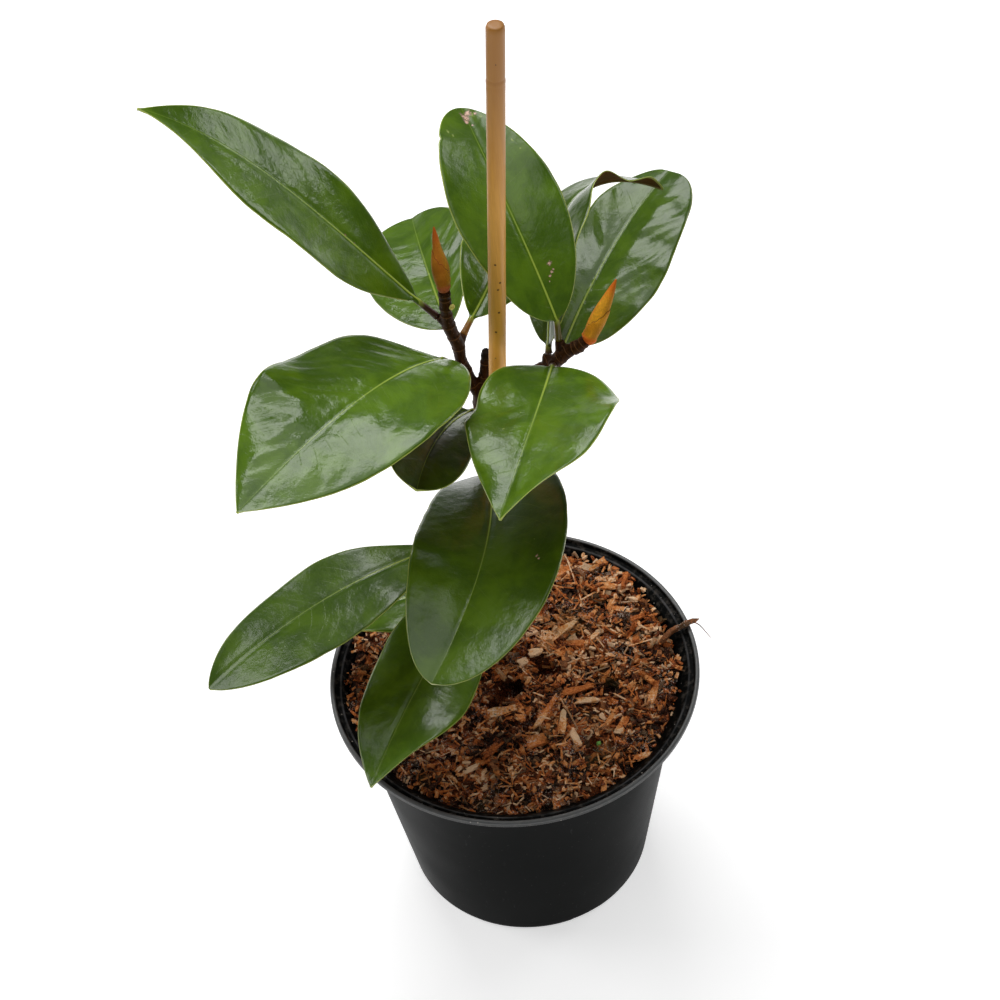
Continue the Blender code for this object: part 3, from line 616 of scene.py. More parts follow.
def leaf_paint(name, leaf):
    """Waxy upper side: pale midrib, margin and side veins on a mottled green whose brightness is set leaf by
    leaf and also holds painted light and shade, with painted shade towards the foot where a leaf asks for
    it.
    """
    paint = Paint(
        name, Coat_Weight=0.75, Coat_Roughness=leaf.gloss, Coat_IOR=1.5, Specular_IOR_Level=0.12
    )
    # tone is set for each leaf to how bright it looks, so besides the leaf's own green it holds painted
    # light and shade
    tone = leaf.tone
    x, t, edge = paint.attribute("leaf_map").split()
    vein, u, s = paint.attribute("leaf_kind").split()
    on_blade = paint.join(x, t, tone * 90.0)
    away = abs(x)

    light = times(tone, (0.092, 0.182, 0.0030))
    mottle = paint.noise(on_blade, 0.055, 4.0, 0.6, 0.4)
    paint.colour = paint.mix(mottle.ease(0.36, 0.66), times(tone, (0.050, 0.112, 0.0012)), light)
    paint.layer(paint.noise(on_blade, 0.9, 2.0, 0.6).ease(0.56, 0.74, 0.0, 0.35), light)
    # Painted shade: the green darkens towards the foot of the blade, where the leaves above would shade it
    if leaf.shade < 1.0:
        paint.layer(s.ease(0.15, 0.75, 1.0 - leaf.shade, 0.0), (0.010, 0.034, 0.0005))

    # Side veins and the fine net show only here and there
    shown = paint.noise(on_blade, 0.06, 2.0).ease(0.42, 0.62)
    fade = u.ease(0.6, 0.92, 1.0, 0.0) * s.ease(0.8, 1.0, 1.0, 0.0)
    line = abs(vein.math("FRACT") - 0.5).ease(0.475, 0.5) * (fade * shown)
    paint.layer(line * 0.22, times(tone, (0.20, 0.30, 0.035)))
    net = paint.cells(on_blade, 0.42, "DISTANCE_TO_EDGE").ease(0.0, 0.07, 1.0, 0.0)
    paint.layer(net * 0.06, (0.12, 0.21, 0.03))

    rib_half = s.ease(0.0, 0.85, 0.38, 0.14)
    rib = away.ease(rib_half, rib_half * 1.5, 1.0, 0.0)
    near_foot = times(leaf.rib, (0.44, 0.57, 0.075))
    near_tip = times(leaf.rib, (0.25, 0.37, 0.055))
    paint.layer(rib * s.ease(0.7, 0.97, 0.95, 0.35), paint.mix(s.ease(0.05, 0.6), near_foot, near_tip))
    margin = (edge + paint.noise(on_blade, 0.10, 2.0) * 0.5).ease(0.42, 0.78, 0.95, 0.0)
    paint.layer(margin, times(leaf.rib, (0.44, 0.52, 0.10)))
    for spot in leaf.spots:
        blemish(paint, x, t, *spot)

    grain = paint.noise(paint.join(x * 3.0, t * 0.4), 0.6)
    stalk = paint.mix(grain, times(0.7, leaf.stalk_colour), times(1.5, leaf.stalk_colour))
    paint.colour = paint.mix(t.ease(*leaf.stalk_fade), stalk, paint.colour)

    # Streaks run with the side veins, over fine unevenness of the wax
    height = paint.noise(paint.join(away * 0.045, vein * 1.3, tone), 1.0, 3.0, 0.55) * leaf.streaks
    for side, across, start, end, slope, fall in leaf.bends:
        on_side = (x * side - across).math("SMOOTH_MAX", 0.0, 2.5)
        beyond = (t - start).math("SMOOTH_MAX", 0.0, 5.0)
        height += on_side * slope * t.ease(start, end) + beyond * fall
    height += paint.noise(on_blade, 0.20, 3.0) * 0.30
    height += net * -0.012
    height += line * -0.04
    height += paint.noise(on_blade, 1.6, 2.0) * 0.02
    return paint.finish(paint.noise(on_blade, 0.12, 3.0).ease(0.3, 0.7, 0.42, 0.52), height, coat=True)


def blemish(paint, x, t, across, along, radius, kind):
    """A ragged patch: yellowed, or dead with a darker rim."""
    torn = paint.noise(paint.join(x, t, along), 1.1 / radius, 3.0, 0.7)
    ragged = paint.distance(paint.join(x, t), (across, along, 0.0)) + torn * (2.6 * radius)
    colour = SPOT_COLOURS[kind]
    if kind == "yellow":
        paint.layer(ragged.ease(radius * 1.2, radius * 2.3, 0.85, 0.0), colour)
        return
    paint.layer(ragged.ease(radius * 1.9, radius * 2.25, 0.8, 0.0), times(0.35, colour))
    rot = paint.noise(paint.join(x, t, across), 1.3, 2.0, 0.7).ease(0.54, 0.60)
    core = ragged.ease(radius * 1.6, radius * 1.95, 1.0, 0.0)
    paint.layer(core, paint.mix(rot, colour, times(0.4, colour)))


def felt_paint():
    """Rust-brown felt under the leaves."""
    paint = Paint(
        "leaf_felt", Sheen_Weight=0.08, Sheen_Roughness=0.5, Sheen_Tint=(0.75, 0.45, 0.22, 1.0),
        Specular_IOR_Level=0.12,
    )
    x, t, edge = paint.attribute("leaf_map").split()
    vein = paint.attribute("leaf_kind").split()[0]
    on_blade = paint.join(x, t)
    nap = paint.noise(on_blade, 2.4, 3.0, 0.7)
    paint.colour = paint.mix(nap, (0.062, 0.023, 0.004), (0.145, 0.058, 0.011))
    paint.layer(paint.noise(on_blade, 0.09).ease(0.35, 0.7), (0.075, 0.048, 0.016))
    line = abs(vein.math("FRACT") - 0.5).ease(0.44, 0.5)
    paint.layer(line * 0.35, (0.15, 0.085, 0.030))
    paint.layer(abs(x).ease(1.0, 1.8, 0.8, 0.0), (0.24, 0.20, 0.07))
    paint.layer(edge.ease(0.35, 0.8, 0.9, 0.0), (0.33, 0.36, 0.09))
    return paint.finish(nap.ease(0.2, 0.8, 0.75, 0.95), nap * 0.10 + line * 0.12)


def make_leaves():
    felt = felt_paint()
    for number, (name, leaf) in enumerate(LEAVES.items()):
        mesh = leaf_mesh(name + "_skin", leaf, 5.0 * number + 1.3)
        piece = new_object(name + "_skin", mesh, leaf_paint(name + "_wax", leaf), felt)
        settle(piece, name)
        if name == "leaf_curled_tip":
            # In the photo this leaf neither shades the one under it nor shows in its gloss
            piece.visible_shadow = False
            piece.visible_glossy = False


# Stem: runs of (point, radius), then the places of their ring scars as shares of the run's
# length, the number of sides and how high the rings stand

STUB_TIP = (1.9, 35.3, 340)
STEM_RUNS = {
    "trunk": ((
        ((-5.4, 34.3, 96), 4.3), ((-5.4, 34.3, 142), 4.3), ((-6.4, 33.8, 160), 4.1),
        ((-7, 33.4, 178), 4.4), ((-6.6, 33.2, 190), 4.1), ((-6.8, 33.6, 205), 4.3),
        ((-5.4, 33.4, 225), 3.9), ((-4.2, 33, 250), 4.3), ((-3.4, 33.6, 275), 3.8),
        ((-2.8, 34.4, 300), 4.3), ((-2.2, 34.3, 311), 4.5), ((-1.2, 34.6, 318), 4.0),
    ), (0.30, 0.37, 0.44, 0.50, 0.58, 0.66, 0.74, 0.80, 0.85, 0.90, 0.95), 24, 0.35),
    "left shoot": ((
        ((-2.2, 34.3, 309), 3.2), ((-6.6, 34.3, 322), 2.9), ((-9.2, 34.2, 331), 3.3),
        ((-10.4, 34.3, 337), 2.8), ((-11, 34.7, 346), 3.1), ((-13, 34.8, 354), 3.1),
        ((-14.4, 34.3, 361), 3.2), ((-14.8, 34.3, 369), 2.7), ((-14.7, 34.3, 373), 3.1),
        ((-14.7, 34.3, 377), 2.7), ((-14.6, 34.5, 382), 3.0),
    ), (0.16, 0.29, 0.38, 0.50, 0.60, 0.71, 0.80, 0.86, 0.93, 0.97), 20, 0.32),
    "right shoot": ((
        ((-2.2, 34.3, 309), 3.2), ((4.5, 34.2, 315), 2.9), ((12, 33, 320), 2.8),
        ((22, 30, 328), 3.0), ((30.5, 27.6, 334), 3.4), ((36.8, 26.4, 341), 3.5),
        ((41, 25.8, 345), 3.0), ((44, 25, 347), 3.3), ((46.2, 24.8, 349), 2.9),
        ((48.2, 24.8, 351), 3.0),
    ), (0.12, 0.24, 0.42, 0.56, 0.66, 0.76, 0.84, 0.89, 0.93, 0.97), 20, 0.32),
    "stub": (
        (((-1.8, 34.5, 312), 3.4), ((0.2, 35.2, 326), 2.7), (STUB_TIP, 2.3)),
        (0.45, 0.75, 0.9), 20, 0.35,
    ),
    "twig": (
        (((-5.6, 33.4, 228), 1.6), ((-25, 28, 232), 1.3), ((-31, 27, 235), 1.0)),
        (0.3, 0.6), 12, 0.15,
    ),
}
STEM_VOXEL = 0.55
SCAR_AT = Vector((-11.8, 32.2, 373.4))


def ringed_bar(run, shares, sides, depth, rings):
    """A bar with ring scars, whose (centre, direction, radius) are added to rings."""
    places, radii = smooth_run(run, 0.5)
    length = lengths_along(places)
    for share in shares:
        d = length - share * length[-1]
        radii = radii + depth * np.exp(-(d / 0.7) ** 2) - 0.5 * depth * np.exp(-((d - 1.5) / 0.7) ** 2)
        at = int(np.argmin(np.abs(d)))
        ahead = places[min(at + 1, len(places) - 1)]
        rings.append((places[at], unit(ahead - places[at - 1]), radii[at]))
    return loft(places, radii, sides)


def ring_distance(places, rings):
    """Distance in mm of each place from the nearest ring scar's plane, at most 9."""
    nearest = np.full(len(places), 9.0)
    for centre, direction, radius in rings:
        away = places - centre
        beside = np.linalg.norm(away, axis=1) < 1.6 * radius
        nearest = np.where(beside, np.minimum(nearest, np.abs(away @ direction)), nearest)
    return nearest


def read_vertices(mesh, key):
    found = np.empty(len(mesh.vertices) * 3)
    mesh.vertices.foreach_get(key, found)
    return found.reshape(-1, 3)


def make_stem():
    rings = []
    bars = [ringed_bar(*run, rings) for run in STEM_RUNS.values()]
    for leaf in LEAVES.values():
        start = np.array(leaf.at, float)
        stalk = stalk_direction(leaf)
        seat = leaf.seat
        cushion = ((start, 2.6), (start + stalk * (seat - 1.6), 2.4), (start + stalk * seat, 2.0))
        bars.append(loft(*smooth_run(cushion, 0.6), 16))
    points, faces = joined(bars)
    stem = new_object("stem_bark_skin", mesh_from("stem_bark_skin", points * MM, faces))
    remesh = stem.modifiers.new("one_skin", "REMESH")
    remesh.mode = "VOXEL"
    remesh.voxel_size = STEM_VOXEL * MM
    smooth = stem.modifiers.new("soften", "SMOOTH")
    smooth.factor = 0.5
    smooth.iterations = 2
    bake_modifiers(stem)
    mesh = stem.data
    places = read_vertices(mesh, "co")
    lumps = np.array([
        0.12 * noise.noise(Vector((x, y, z * 0.35)) * 420.0) + 0.05 * noise.noise(Vector((x, y, z)) * 1100.0)
        for x, y, z in places
    ])
    places += read_vertices(mesh, "normal") * lumps[:, None] * MM
    mesh.vertices.foreach_set("co", places.ravel())
    mesh.polygons.foreach_set("use_smooth", [True] * len(mesh.polygons))
    mesh.update()
    store(mesh, "ring", "FLOAT", ring_distance(places / MM, rings))
    mesh.materials.append(bark_paint())
    settle(stem, "stem")
    make_scar()


def make_scar():
    """The pale oval where a leaf fell off the left shoot."""
    bm = bmesh.new()
    bmesh.ops.create_icosphere(bm, subdivisions=3, radius=1.0)
    for face in bm.faces:
        face.smooth = True
    for vert in bm.verts:
        d = vert.co
        lump = 1.0 + 0.12 * noise.noise(d * 2.5)
        hollow = 1.0 - 0.35 * max(0.0, -d.y) ** 6
        vert.co = Vector((d.x * 1.5, d.y * 0.8 * hollow, d.z * 1.6)) * lump * MM
    bmesh.ops.rotate(bm, verts=bm.verts, cent=(0, 0, 0), matrix=Matrix.Rotation(0.5, 3, "Z"))
    bmesh.ops.translate(bm, verts=bm.verts, vec=SCAR_AT * MM)
    add_to(new_object("leaf_scar", taken(bm, "leaf_scar"), scar_paint()))


def bark_paint():
    """Young bark: dark red-brown, with pale pores, grey weathering and paler old ring scars."""
    paint = Paint("young_bark", Specular_IOR_Level=0.12)
    here = paint.place()
    z = here.split()[2]
    streak = paint.noise(paint.place(z=0.22), 0.9, 4.0, 0.65)
    paint.colour = paint.mix(streak.ease(0.3, 0.7), (0.016, 0.0055, 0.0007), (0.056, 0.0190, 0.0030))
    grey = paint.noise(here, 0.16, 3.0).ease(0.45, 0.7)
    paint.layer(grey * z.ease(300.0, 200.0), (0.085, 0.055, 0.036))
    paint.layer(paint.noise(here, 0.11, 2.0).ease(0.56, 0.76, 0.0, 0.3), (0.035, 0.026, 0.010))
    pore = paint.cells(paint.place(z=0.7), 0.55).ease(0.12, 0.22, 1.0, 0.0)
    paint.layer(pore * 0.4, (0.15, 0.09, 0.055))
    paint.layer(paint.attribute("ring", "Fac").ease(0.12, 0.42, 0.75, 0.0), (0.15, 0.070, 0.026))
    paint.layer(paint.distance(here, STUB_TIP).ease(3.0, 6.5, 0.85, 0.0), (0.010, 0.006, 0.004))
    height = streak * 0.09 + pore * 0.08 + paint.noise(here, 2.2, 3.0) * 0.06
    return paint.finish(streak.ease(0.3, 0.7, 0.62, 0.5), height)


def scar_paint():
    paint = Paint("cut_scar", Specular_IOR_Level=0.3)
    dots = paint.cells(paint.place(), 1.1)
    paint.colour = paint.mix(dots.ease(0.15, 0.4), (0.60, 0.48, 0.07), (0.90, 0.80, 0.22))
    return paint.finish(dots.ease(0.1, 0.5, 0.7, 0.5), dots * 0.3)


# Buds: a run of (point, radius), where the outer scale is torn off along the bud in mm and round
# it in radians, and the colours of the collar, the outer scale, the bud inside and the tip

BUDS = {
    "bud_left": ((
        ((-14.6, 34.55, 382.5), 2.1), ((-14.65, 34.7, 384.2), 2.4), ((-14.8, 36.0, 387.5), 3.3),
        ((-15.0, 38, 392), 3.8), ((-15.4, 40.2, 396), 3.3), ((-15.8, 43, 400.5), 2.1),
        ((-16.1, 46, 405), 1.3), ((-16.3, 48.4, 409), 0.35),
    ), 12.5, 0.3, (
        (0.42, 0.11, 0.035), (0.40, 0.20, 0.012), (0.50, 0.24, 0.018), (0.48, 0.10, 0.007),
    )),
    "bud_right": ((
        ((48.55, 24.8, 351.35), 2.4), ((49.7, 24.9, 352.6), 2.9), ((51.8, 26.2, 356.6), 3.4),
        ((54, 28, 360), 3.6), ((56.6, 30.2, 363.8), 3.3), ((59.4, 32.8, 367.8), 2.5),
        ((62, 35.4, 371.6), 1.6), ((64.4, 37.8, 375.4), 0.35),
    ), 10.5, 2.4, (
        (0.66, 0.14, 0.012), (0.78, 0.32, 0.014), (0.90, 0.42, 0.022), (0.66, 0.14, 0.007),
    )),
}
BUD_SIDES = 64


def make_bud(name, run, torn_at, torn_turn, colours):
    """A spindle in a thin outer scale that is torn open along a slanting edge."""
    places, radii = smooth_run(run, 0.3)
    length = lengths_along(places)
    angles = circle(BUD_SIDES)
    slant = torn_at + 6.5 * np.cos(angles - torn_turn) + 0.9 * np.sin(3 * angles + 1.0)
    slant = slant + 0.35 * np.sin(11 * angles)
    outer = 1.0 - ease(length[:, None], slant[None, :] - 0.25, slant[None, :] + 0.25)
    collar = np.exp(-((length - 1.6) / 0.8) ** 2)[:, None]

    def shape(i, around):
        keel = 1.0 + 0.05 * np.cos(2 * (around - torn_turn))
        return keel + (0.34 * outer[i] + 0.45 * collar[i]) / max(radii[i], 0.3)

    points, faces = loft(places, radii, BUD_SIDES, shape)
    mesh = mesh_from(name + "_scales", points * MM, faces)
    share = np.repeat(length / length[-1], BUD_SIDES)
    maps = np.stack((share, outer.ravel(), np.tile(angles, len(places))), -1)
    store(mesh, "bud_map", "FLOAT_VECTOR", maps)
    settle(new_object(name + "_scales", mesh, bud_paint(name + "_down", colours, torn_turn)), name)


def bud_paint(name, colours, turn):
    """Velvety scales: fine hairs, a dark torn edge and the tip's colour at the tip, with painted light in
    that colour on one side and painted shade on the other side.
    """
    paint = Paint(
        name, Sheen_Weight=0.1, Sheen_Roughness=0.4, Sheen_Tint=(1.0, 0.7, 0.45, 1.0),
        Specular_IOR_Level=0.18,
    )
    share, outer, angle = paint.attribute("bud_map").split()
    collar, outside, inside, tip = colours
    hair = paint.noise(paint.place(1.0, 0.45, 0.45), 2.4, 4.0, 0.7)
    patch = paint.noise(paint.place(), 0.22, 2.0)
    paint.colour = paint.mix(outer.ease(0.3, 0.7), inside, outside)
    paint.layer(patch.ease(0.45, 0.65, 0.0, 0.5), times(1.5, inside))
    paint.layer(hair.ease(0.3, 0.7, 0.5, 0.0), times(0.45, outside))
    edge = outer.ease(0.02, 0.3) * outer.ease(0.7, 0.98, 1.0, 0.0)
    paint.layer(edge * 0.85, (0.022, 0.008, 0.004))
    paint.layer(share.ease(0.62, 0.92), tip)
    # Painted light and shade: one side takes the tip's colour as a painted highlight, the other side is
    # darkened as painted shade
    painted_light_side = (angle + turn).math("SINE")
    paint.layer(painted_light_side.ease(0.25, 0.95, 0.0, 0.45), tip)
    paint.layer(painted_light_side.ease(-0.3, -0.95, 0.0, 0.55), times(0.3, outside))
    paint.layer(share.ease(0.05, 0.13, 1.0, 0.0), collar)
    return paint.finish(hair.ease(0.3, 0.7, 0.78, 0.6), hair * 0.22)


# Cane

CANE_FOOT = np.array((-13.6, 17.9, 25.0))
CANE_TOP = np.array((18.7, 28.0, 536.0))
CANE_R = 4.1
CANE_SIDES = 56
CANE_NODES = (103, 305, 507)
CANE_SPECKS = ((9.5, 21.5, 407), (11.0, 21.3, 396), (9.8, 21.1, 392), (9.3, 20.8, 378), (7.1, 20.6, 366))


def make_cane():
    height = CANE_TOP - CANE_FOOT
    z = [np.linspace(25.0, 534.6, 240)] + [np.linspace(n - 4, n + 4, 24) for n in CANE_NODES]
    z = np.unique(np.concatenate(z + [(535.3, 535.8)]))
    places = CANE_FOOT + np.outer((z - CANE_FOOT[2]) / height[2], height)
    radii = np.full(len(z), CANE_R)
    for node in CANE_NODES:
        d = z - node
        radii += 0.14 * np.exp(-(d / 1.1) ** 2) - 0.10 * np.exp(-((d - 1.9) / 0.6) ** 2)
        radii += 0.08 * np.exp(-((d + 3.0) / 2.2) ** 2)
    radii -= 0.5 * ease(z, 534.4, 535.8)

    def shape(i, angles):
        groove = 0.03 * np.exp(-(np.sin((angles - 1.0) / 2) / 0.12) ** 2)
        return 1.0 + 0.012 * np.cos(2 * angles + z[i] / 90.0) - groove

    points, faces = loft(places, radii, CANE_SIDES, shape)
    faces.pop()
    last = len(points) - CANE_SIDES
    rim = points[last:]
    for share, drop in ((0.8, 0.0), (0.3, 0.03)):
        first = len(points)
        points = np.vstack((points, CANE_TOP + (rim - rim.mean(0)) * share - (0, 0, drop)))
        faces += strip(last, first, CANE_SIDES)
        last = first
    faces.append(tuple(range(last, last + CANE_SIDES)))
    mesh = mesh_from("cane_bamboo", points * MM, faces)
    settle(new_object("cane_bamboo", mesh, bamboo_paint()), "cane")


def bamboo_paint():
    """Dry bamboo: tan fibres, painted light low down where the leaves shade it, browner at the top, with
    dark specks.
    """
    paint = Paint("dry_bamboo", Coat_Weight=0.12, Coat_Roughness=0.3, Specular_IOR_Level=0.4)
    here = paint.place()
    z = here.split()[2]
    fibre = paint.noise(paint.place(z=0.035), 1.6, 4.0, 0.6)
    patch = paint.noise(paint.place(z=0.25), 0.045, 3.0, 0.6)
    paint.colour = paint.mix(patch.ease(0.35, 0.65), (0.70, 0.33, 0.055), (0.80, 0.40, 0.080))
    paint.layer(fibre.ease(0.35, 0.65, 0.0, 0.3), (0.50, 0.21, 0.035))
    # Painted light: the cane is made brighter low down, where the leaves shade it
    paint.layer(z.ease(400.0, 330.0), (1.0, 0.49, 0.065))
    paint.layer(z.ease(430.0, 520.0, 0.0, 0.85), (0.33, 0.135, 0.020))
    speck = paint.cells(paint.place(z=0.6), 0.13).ease(0.03, 0.05, 0.6, 0.0)
    paint.layer(speck, (0.035, 0.016, 0.008))
    for place in CANE_SPECKS:
        paint.layer(paint.distance(here, place).ease(0.35, 0.75, 0.9, 0.0), (0.030, 0.012, 0.006))
    for node in CANE_NODES:
        paint.layer(abs(z - (node + 1.2)).ease(0.4, 1.1, 0.22, 0.0), (0.30, 0.12, 0.03))
    paint.layer(z.ease(152.0, 128.0), (0.14, 0.07, 0.03))
    return paint.finish(fibre.ease(0.3, 0.7, 0.46, 0.36), fibre * 0.10 + speck * -0.10)


# Pot: a profile of (radius, height, corner rounding) turned round the z axis

POT_SIDES = 180
FOOT_R = 64.0
NOTCHES = 6
NOTCH_AT = -66.0  # degrees
NOTCH_R = 60.0
NOTCH_SIZE = (24, 18, 6)
DRAIN_CENTRE_R = 40.0
DRAIN_R = 4.0
SHARP_FROM = 35  # degrees between faces
LIP_R = 92.6  # the lip, in a shinier copy of the plastic painted lighter as a painted highlight, is outside this radius and above LIP_Z
LIP_Z = 138.7


def wall_r(z):
    return FOOT_R + 20.0 * z / 133.0


POT_PROFILE = (
    (0.0, 5.0, 0), (wall_r(5) - 4.3, 5.0, 0.6), (wall_r(8) - 1.3, 8.0, 1.2),
    (wall_r(70) - 1.3, 70.0, 0), (82.7, 133.0, 1.5), (86.0, 137.0, 0.7), (88.6, 139.4, 0.5),
    (89.4, 140.1, 0.25), (92.2, 140.2, 0.5), (92.5, 141.7, 0.4), (93.2, 142.3, 0.35),
    (94.4, 142.3, 0.35), (95.0, 141.6, 0.3), (95.0, 139.6, 0.3), (94.4, 139.0, 0.25),
    (91.0, 138.9, 0.4), (87.6, 137.4, 0.8), (84.0, 133.0, 1.5), (wall_r(70), 70.0, 0),
    (wall_r(3), 3.0, 1.2), (63.4, 0.6, 0.5), (62.6, 0.0, 0.3), (54.0, 0.0, 0.4),
    (53.2, 2.6, 0.4), (15.5, 2.6, 0.5), (14.0, 0.0, 0.4), (0.0, 0.0, 0),
)


def rounded(profile, steps=4):
    """The profile's corners as short curves that start that far from the corner."""
    found = []
    for i, (r, z, soft) in enumerate(profile):
        here = np.array((r, z), float)
        if not soft:
            found.append(here)
            continue
        before = np.array(profile[i - 1][:2], float) - here
        after = np.array(profile[i + 1][:2], float) - here
        a = unit(before) * min(soft, 0.45 * np.linalg.norm(before))
        b = unit(after) * min(soft, 0.45 * np.linalg.norm(after))
        for k in range(steps + 1):
            w = k / steps
            found.append(here + a * (1 - w) ** 2 + b * w ** 2)
    return found


def notch_cutter(name, turn):
    """A softened box across the foot ring."""
    bm = bmesh.new()
    bmesh.ops.create_cube(bm, size=1.0)
    bmesh.ops.scale(bm, verts=bm.verts, vec=Vector(NOTCH_SIZE) * MM)
    bmesh.ops.bevel(bm, geom=list(bm.edges), offset=0.8 * MM, segments=2, affect="EDGES")
    bmesh.ops.rotate(bm, verts=bm.verts, cent=(0, 0, 0), matrix=Matrix.Rotation(turn, 3, "Z"))
    return placed_cutter(bm, name, NOTCH_R, turn, -1.0)


def drain_cutter(name, turn):
    bm = bmesh.new()
    bmesh.ops.create_cone(
        bm, cap_ends=True, segments=36, radius1=DRAIN_R * MM, radius2=DRAIN_R * MM, depth=20 * MM
    )
    return placed_cutter(bm, name, DRAIN_CENTRE_R, turn, 4.0)


def placed_cutter(bm, name, r, turn, z):
    centre = Vector((r * math.cos(turn), r * math.sin(turn), z))
    bmesh.ops.translate(bm, verts=bm.verts, vec=centre * MM)
    return new_object(name, taken(bm, name))


def make_pot():
    inside, *outline, under = rounded(POT_PROFILE)
    points = [(0.0, 0.0, inside[1])]
    for r, z in outline:
        points += ring(r, z, circle(POT_SIDES))
    points.append((0.0, 0.0, under[1]))
    pot = new_object("pot_shell", shell("pot_shell", points, POT_SIDES))
    cutters = []
    for i in range(NOTCHES):
        turn = math.radians(NOTCH_AT + 360 / NOTCHES * i)
        cutters.append(notch_cutter(f"notch_{i}", turn))
        cutters.append(drain_cutter(f"drain_{i}", turn + math.pi / NOTCHES))
    for cutter in cutters:
        cut = pot.modifiers.new(cutter.name, "BOOLEAN")
        cut.operation = "DIFFERENCE"
        cut.solver = "EXACT"
        cut.object = cutter
    bake_modifiers(pot)
    for cutter in cutters:
        bpy.data.objects.remove(cutter)
    pot.data.shade_smooth()
    pot.data.set_sharp_from_angle(angle=math.radians(SHARP_FROM))
    pot.data.materials.append(pot_paint("black_plastic_wall", 0.014, (0.0024, 0.0028, 0.0027)))
    # The rim's copy of the plastic is shinier and lighter: a painted highlight on the lip
    pot.data.materials.append(pot_paint("black_plastic_rim_painted_highlight", 0.4, (0.0085, 0.0088, 0.0092)))
    for face in pot.data.polygons:
        x, y, z = face.center / MM
        face.material_index = int(z > LIP_Z and math.hypot(x, y) > LIP_R)
    settle(pot, "pot")


def pot_paint(name, shine, dark):
    """Black moulded plastic, satin, with a little soil dust on its ledges, a few scuffs, a painted highlight
    on top of the lip and a thin broken painted highlight at the step inside the rim.
    """
    paint = Paint(name, Specular_IOR_Level=shine)
    here = paint.place()
    x, y, z = here.split()
    r = (x * x + y * y).math("SQRT")
    cloud = paint.noise(here, 0.02, 3.0)
    paint.colour = paint.mix(cloud.ease(0.35, 0.7), dark, times(1.5, dark))
    # Painted highlight: a pale band on the top of the lip
    paint.layer(r.ease(92.8, 93.2) * z.ease(140.9, 141.5), (0.095, 0.099, 0.098))
    # Painted highlight: a thin pale line, broken up by noise, at the inner edge of the step inside the rim
    step = r.ease(88.9, 89.3) * r.ease(89.8, 90.3, 1.0, 0.0)
    highlight_breaks = paint.noise(here, 0.05, 3.0).ease(0.35, 0.6, 0.2, 0.9)
    paint.layer(step * highlight_breaks, (0.075, 0.075, 0.077))
    ledge = r.ease(84.5, 87.5) * z.ease(135.5, 138.5)
    dust = paint.noise(here, 0.28, 4.0, 0.7).ease(0.48, 0.68) * ledge
    paint.layer(dust * 0.14, (0.30, 0.26, 0.22))
    grit = paint.cells(here, 0.22).ease(0.05, 0.10, 1.0, 0.0) * z.ease(128.0, 140.0, 0.05, 0.8)
    paint.layer(grit, (0.42, 0.38, 0.34))
    scuff = paint.noise(paint.place(z=0.12), 0.5, 3.0, 0.6).ease(0.66, 0.74)
    paint.layer(scuff * 0.35, (0.06, 0.06, 0.062))
    rough = cloud.ease(0.3, 0.7, 0.36, 0.44) + scuff * 0.15
    return paint.finish(rough, paint.noise(here, 2.6, 2.0) * 0.018 + grit * 0.12)


# Bark mix

BARK_TOP = 133.0
BARK_R = 83.0
BED_RINGS = 64
BED_SIDES = 160
BED_DROP = 1.6  # how far the bed lies under the loose bits
BED_EDGE_TOP = 138.0  # the bed's edge ends no higher than this before its drop
SKIRT_R = 82.1
SKIRT_TOP = 132.6
MIX_REACH = 84  # radius of the mix at its top
CHUNKS = 620
CRUMBS = 4050
FIBRES = 1700
BARK_SEED = 23
TRUNK_SPOT = (-5.4, 34.3, 4.3)  # x, y and radius where the trunk leaves the mix
CANE_SPOT = (-6.8, 20.1, 4.1)

# Dark hollows: (x, y, depth, reach)
PITS = ((16, 7, 13, 9), (-2, -3, 9, 10), (-11, -12, 8, 8), (48, -10, 7, 6), (36, -44, 6, 6))

# Chips that can be told apart: (x, y, length, width, turn, tone)
NAMED_CHIPS = (
    (24, 27, 22, 5.0, 0.5, 0.85), (-9, -20, 15, 5.0, 0.1, 0.92), (33, 20, 15, 3.5, -0.2, 0.55),
    (12, 15, 7, 4, 0.1, 1.2), (5, 9, 4.5, 4, 0.3, 1.25), (60, 38, 10, 3.0, -0.45, 1.0),
    (14, -24, 19, 2.8, 0.95, 0.80), (31, -10, 16, 3.6, 0.15, 0.86), (22, -33, 12, 3.4, 1.4, 1.0),
    (27, -41, 13, 3.6, -1.25, 0.98), (36, -18, 11, 3.0, -0.1, 0.95), (70, -18, 14, 3.4, 1.2, 0.74),
    (47, -30, 12, 2.2, 1.0, 0.7), (52, -36, 10, 4.0, 1.1, 0.82), (-14, -44, 12, 3.8, 0.7, 0.62),
    (8, -40, 10, 6.0, 0.2, 0.65), (-26, -54, 8, 2.6, 0.5, 1.05), (30, 66, 10, 5.5, 0.2, 0.66),
    (53, 52, 9, 3.6, -0.3, 0.84), (66, 31, 9, 2.4, 0.25, 0.76), (60, -56, 9, 3.4, 0.2, 0.8),
)
GREEN_SPECK = (39, -46)
GREEN_TONE = 3.0  # past every bark tone

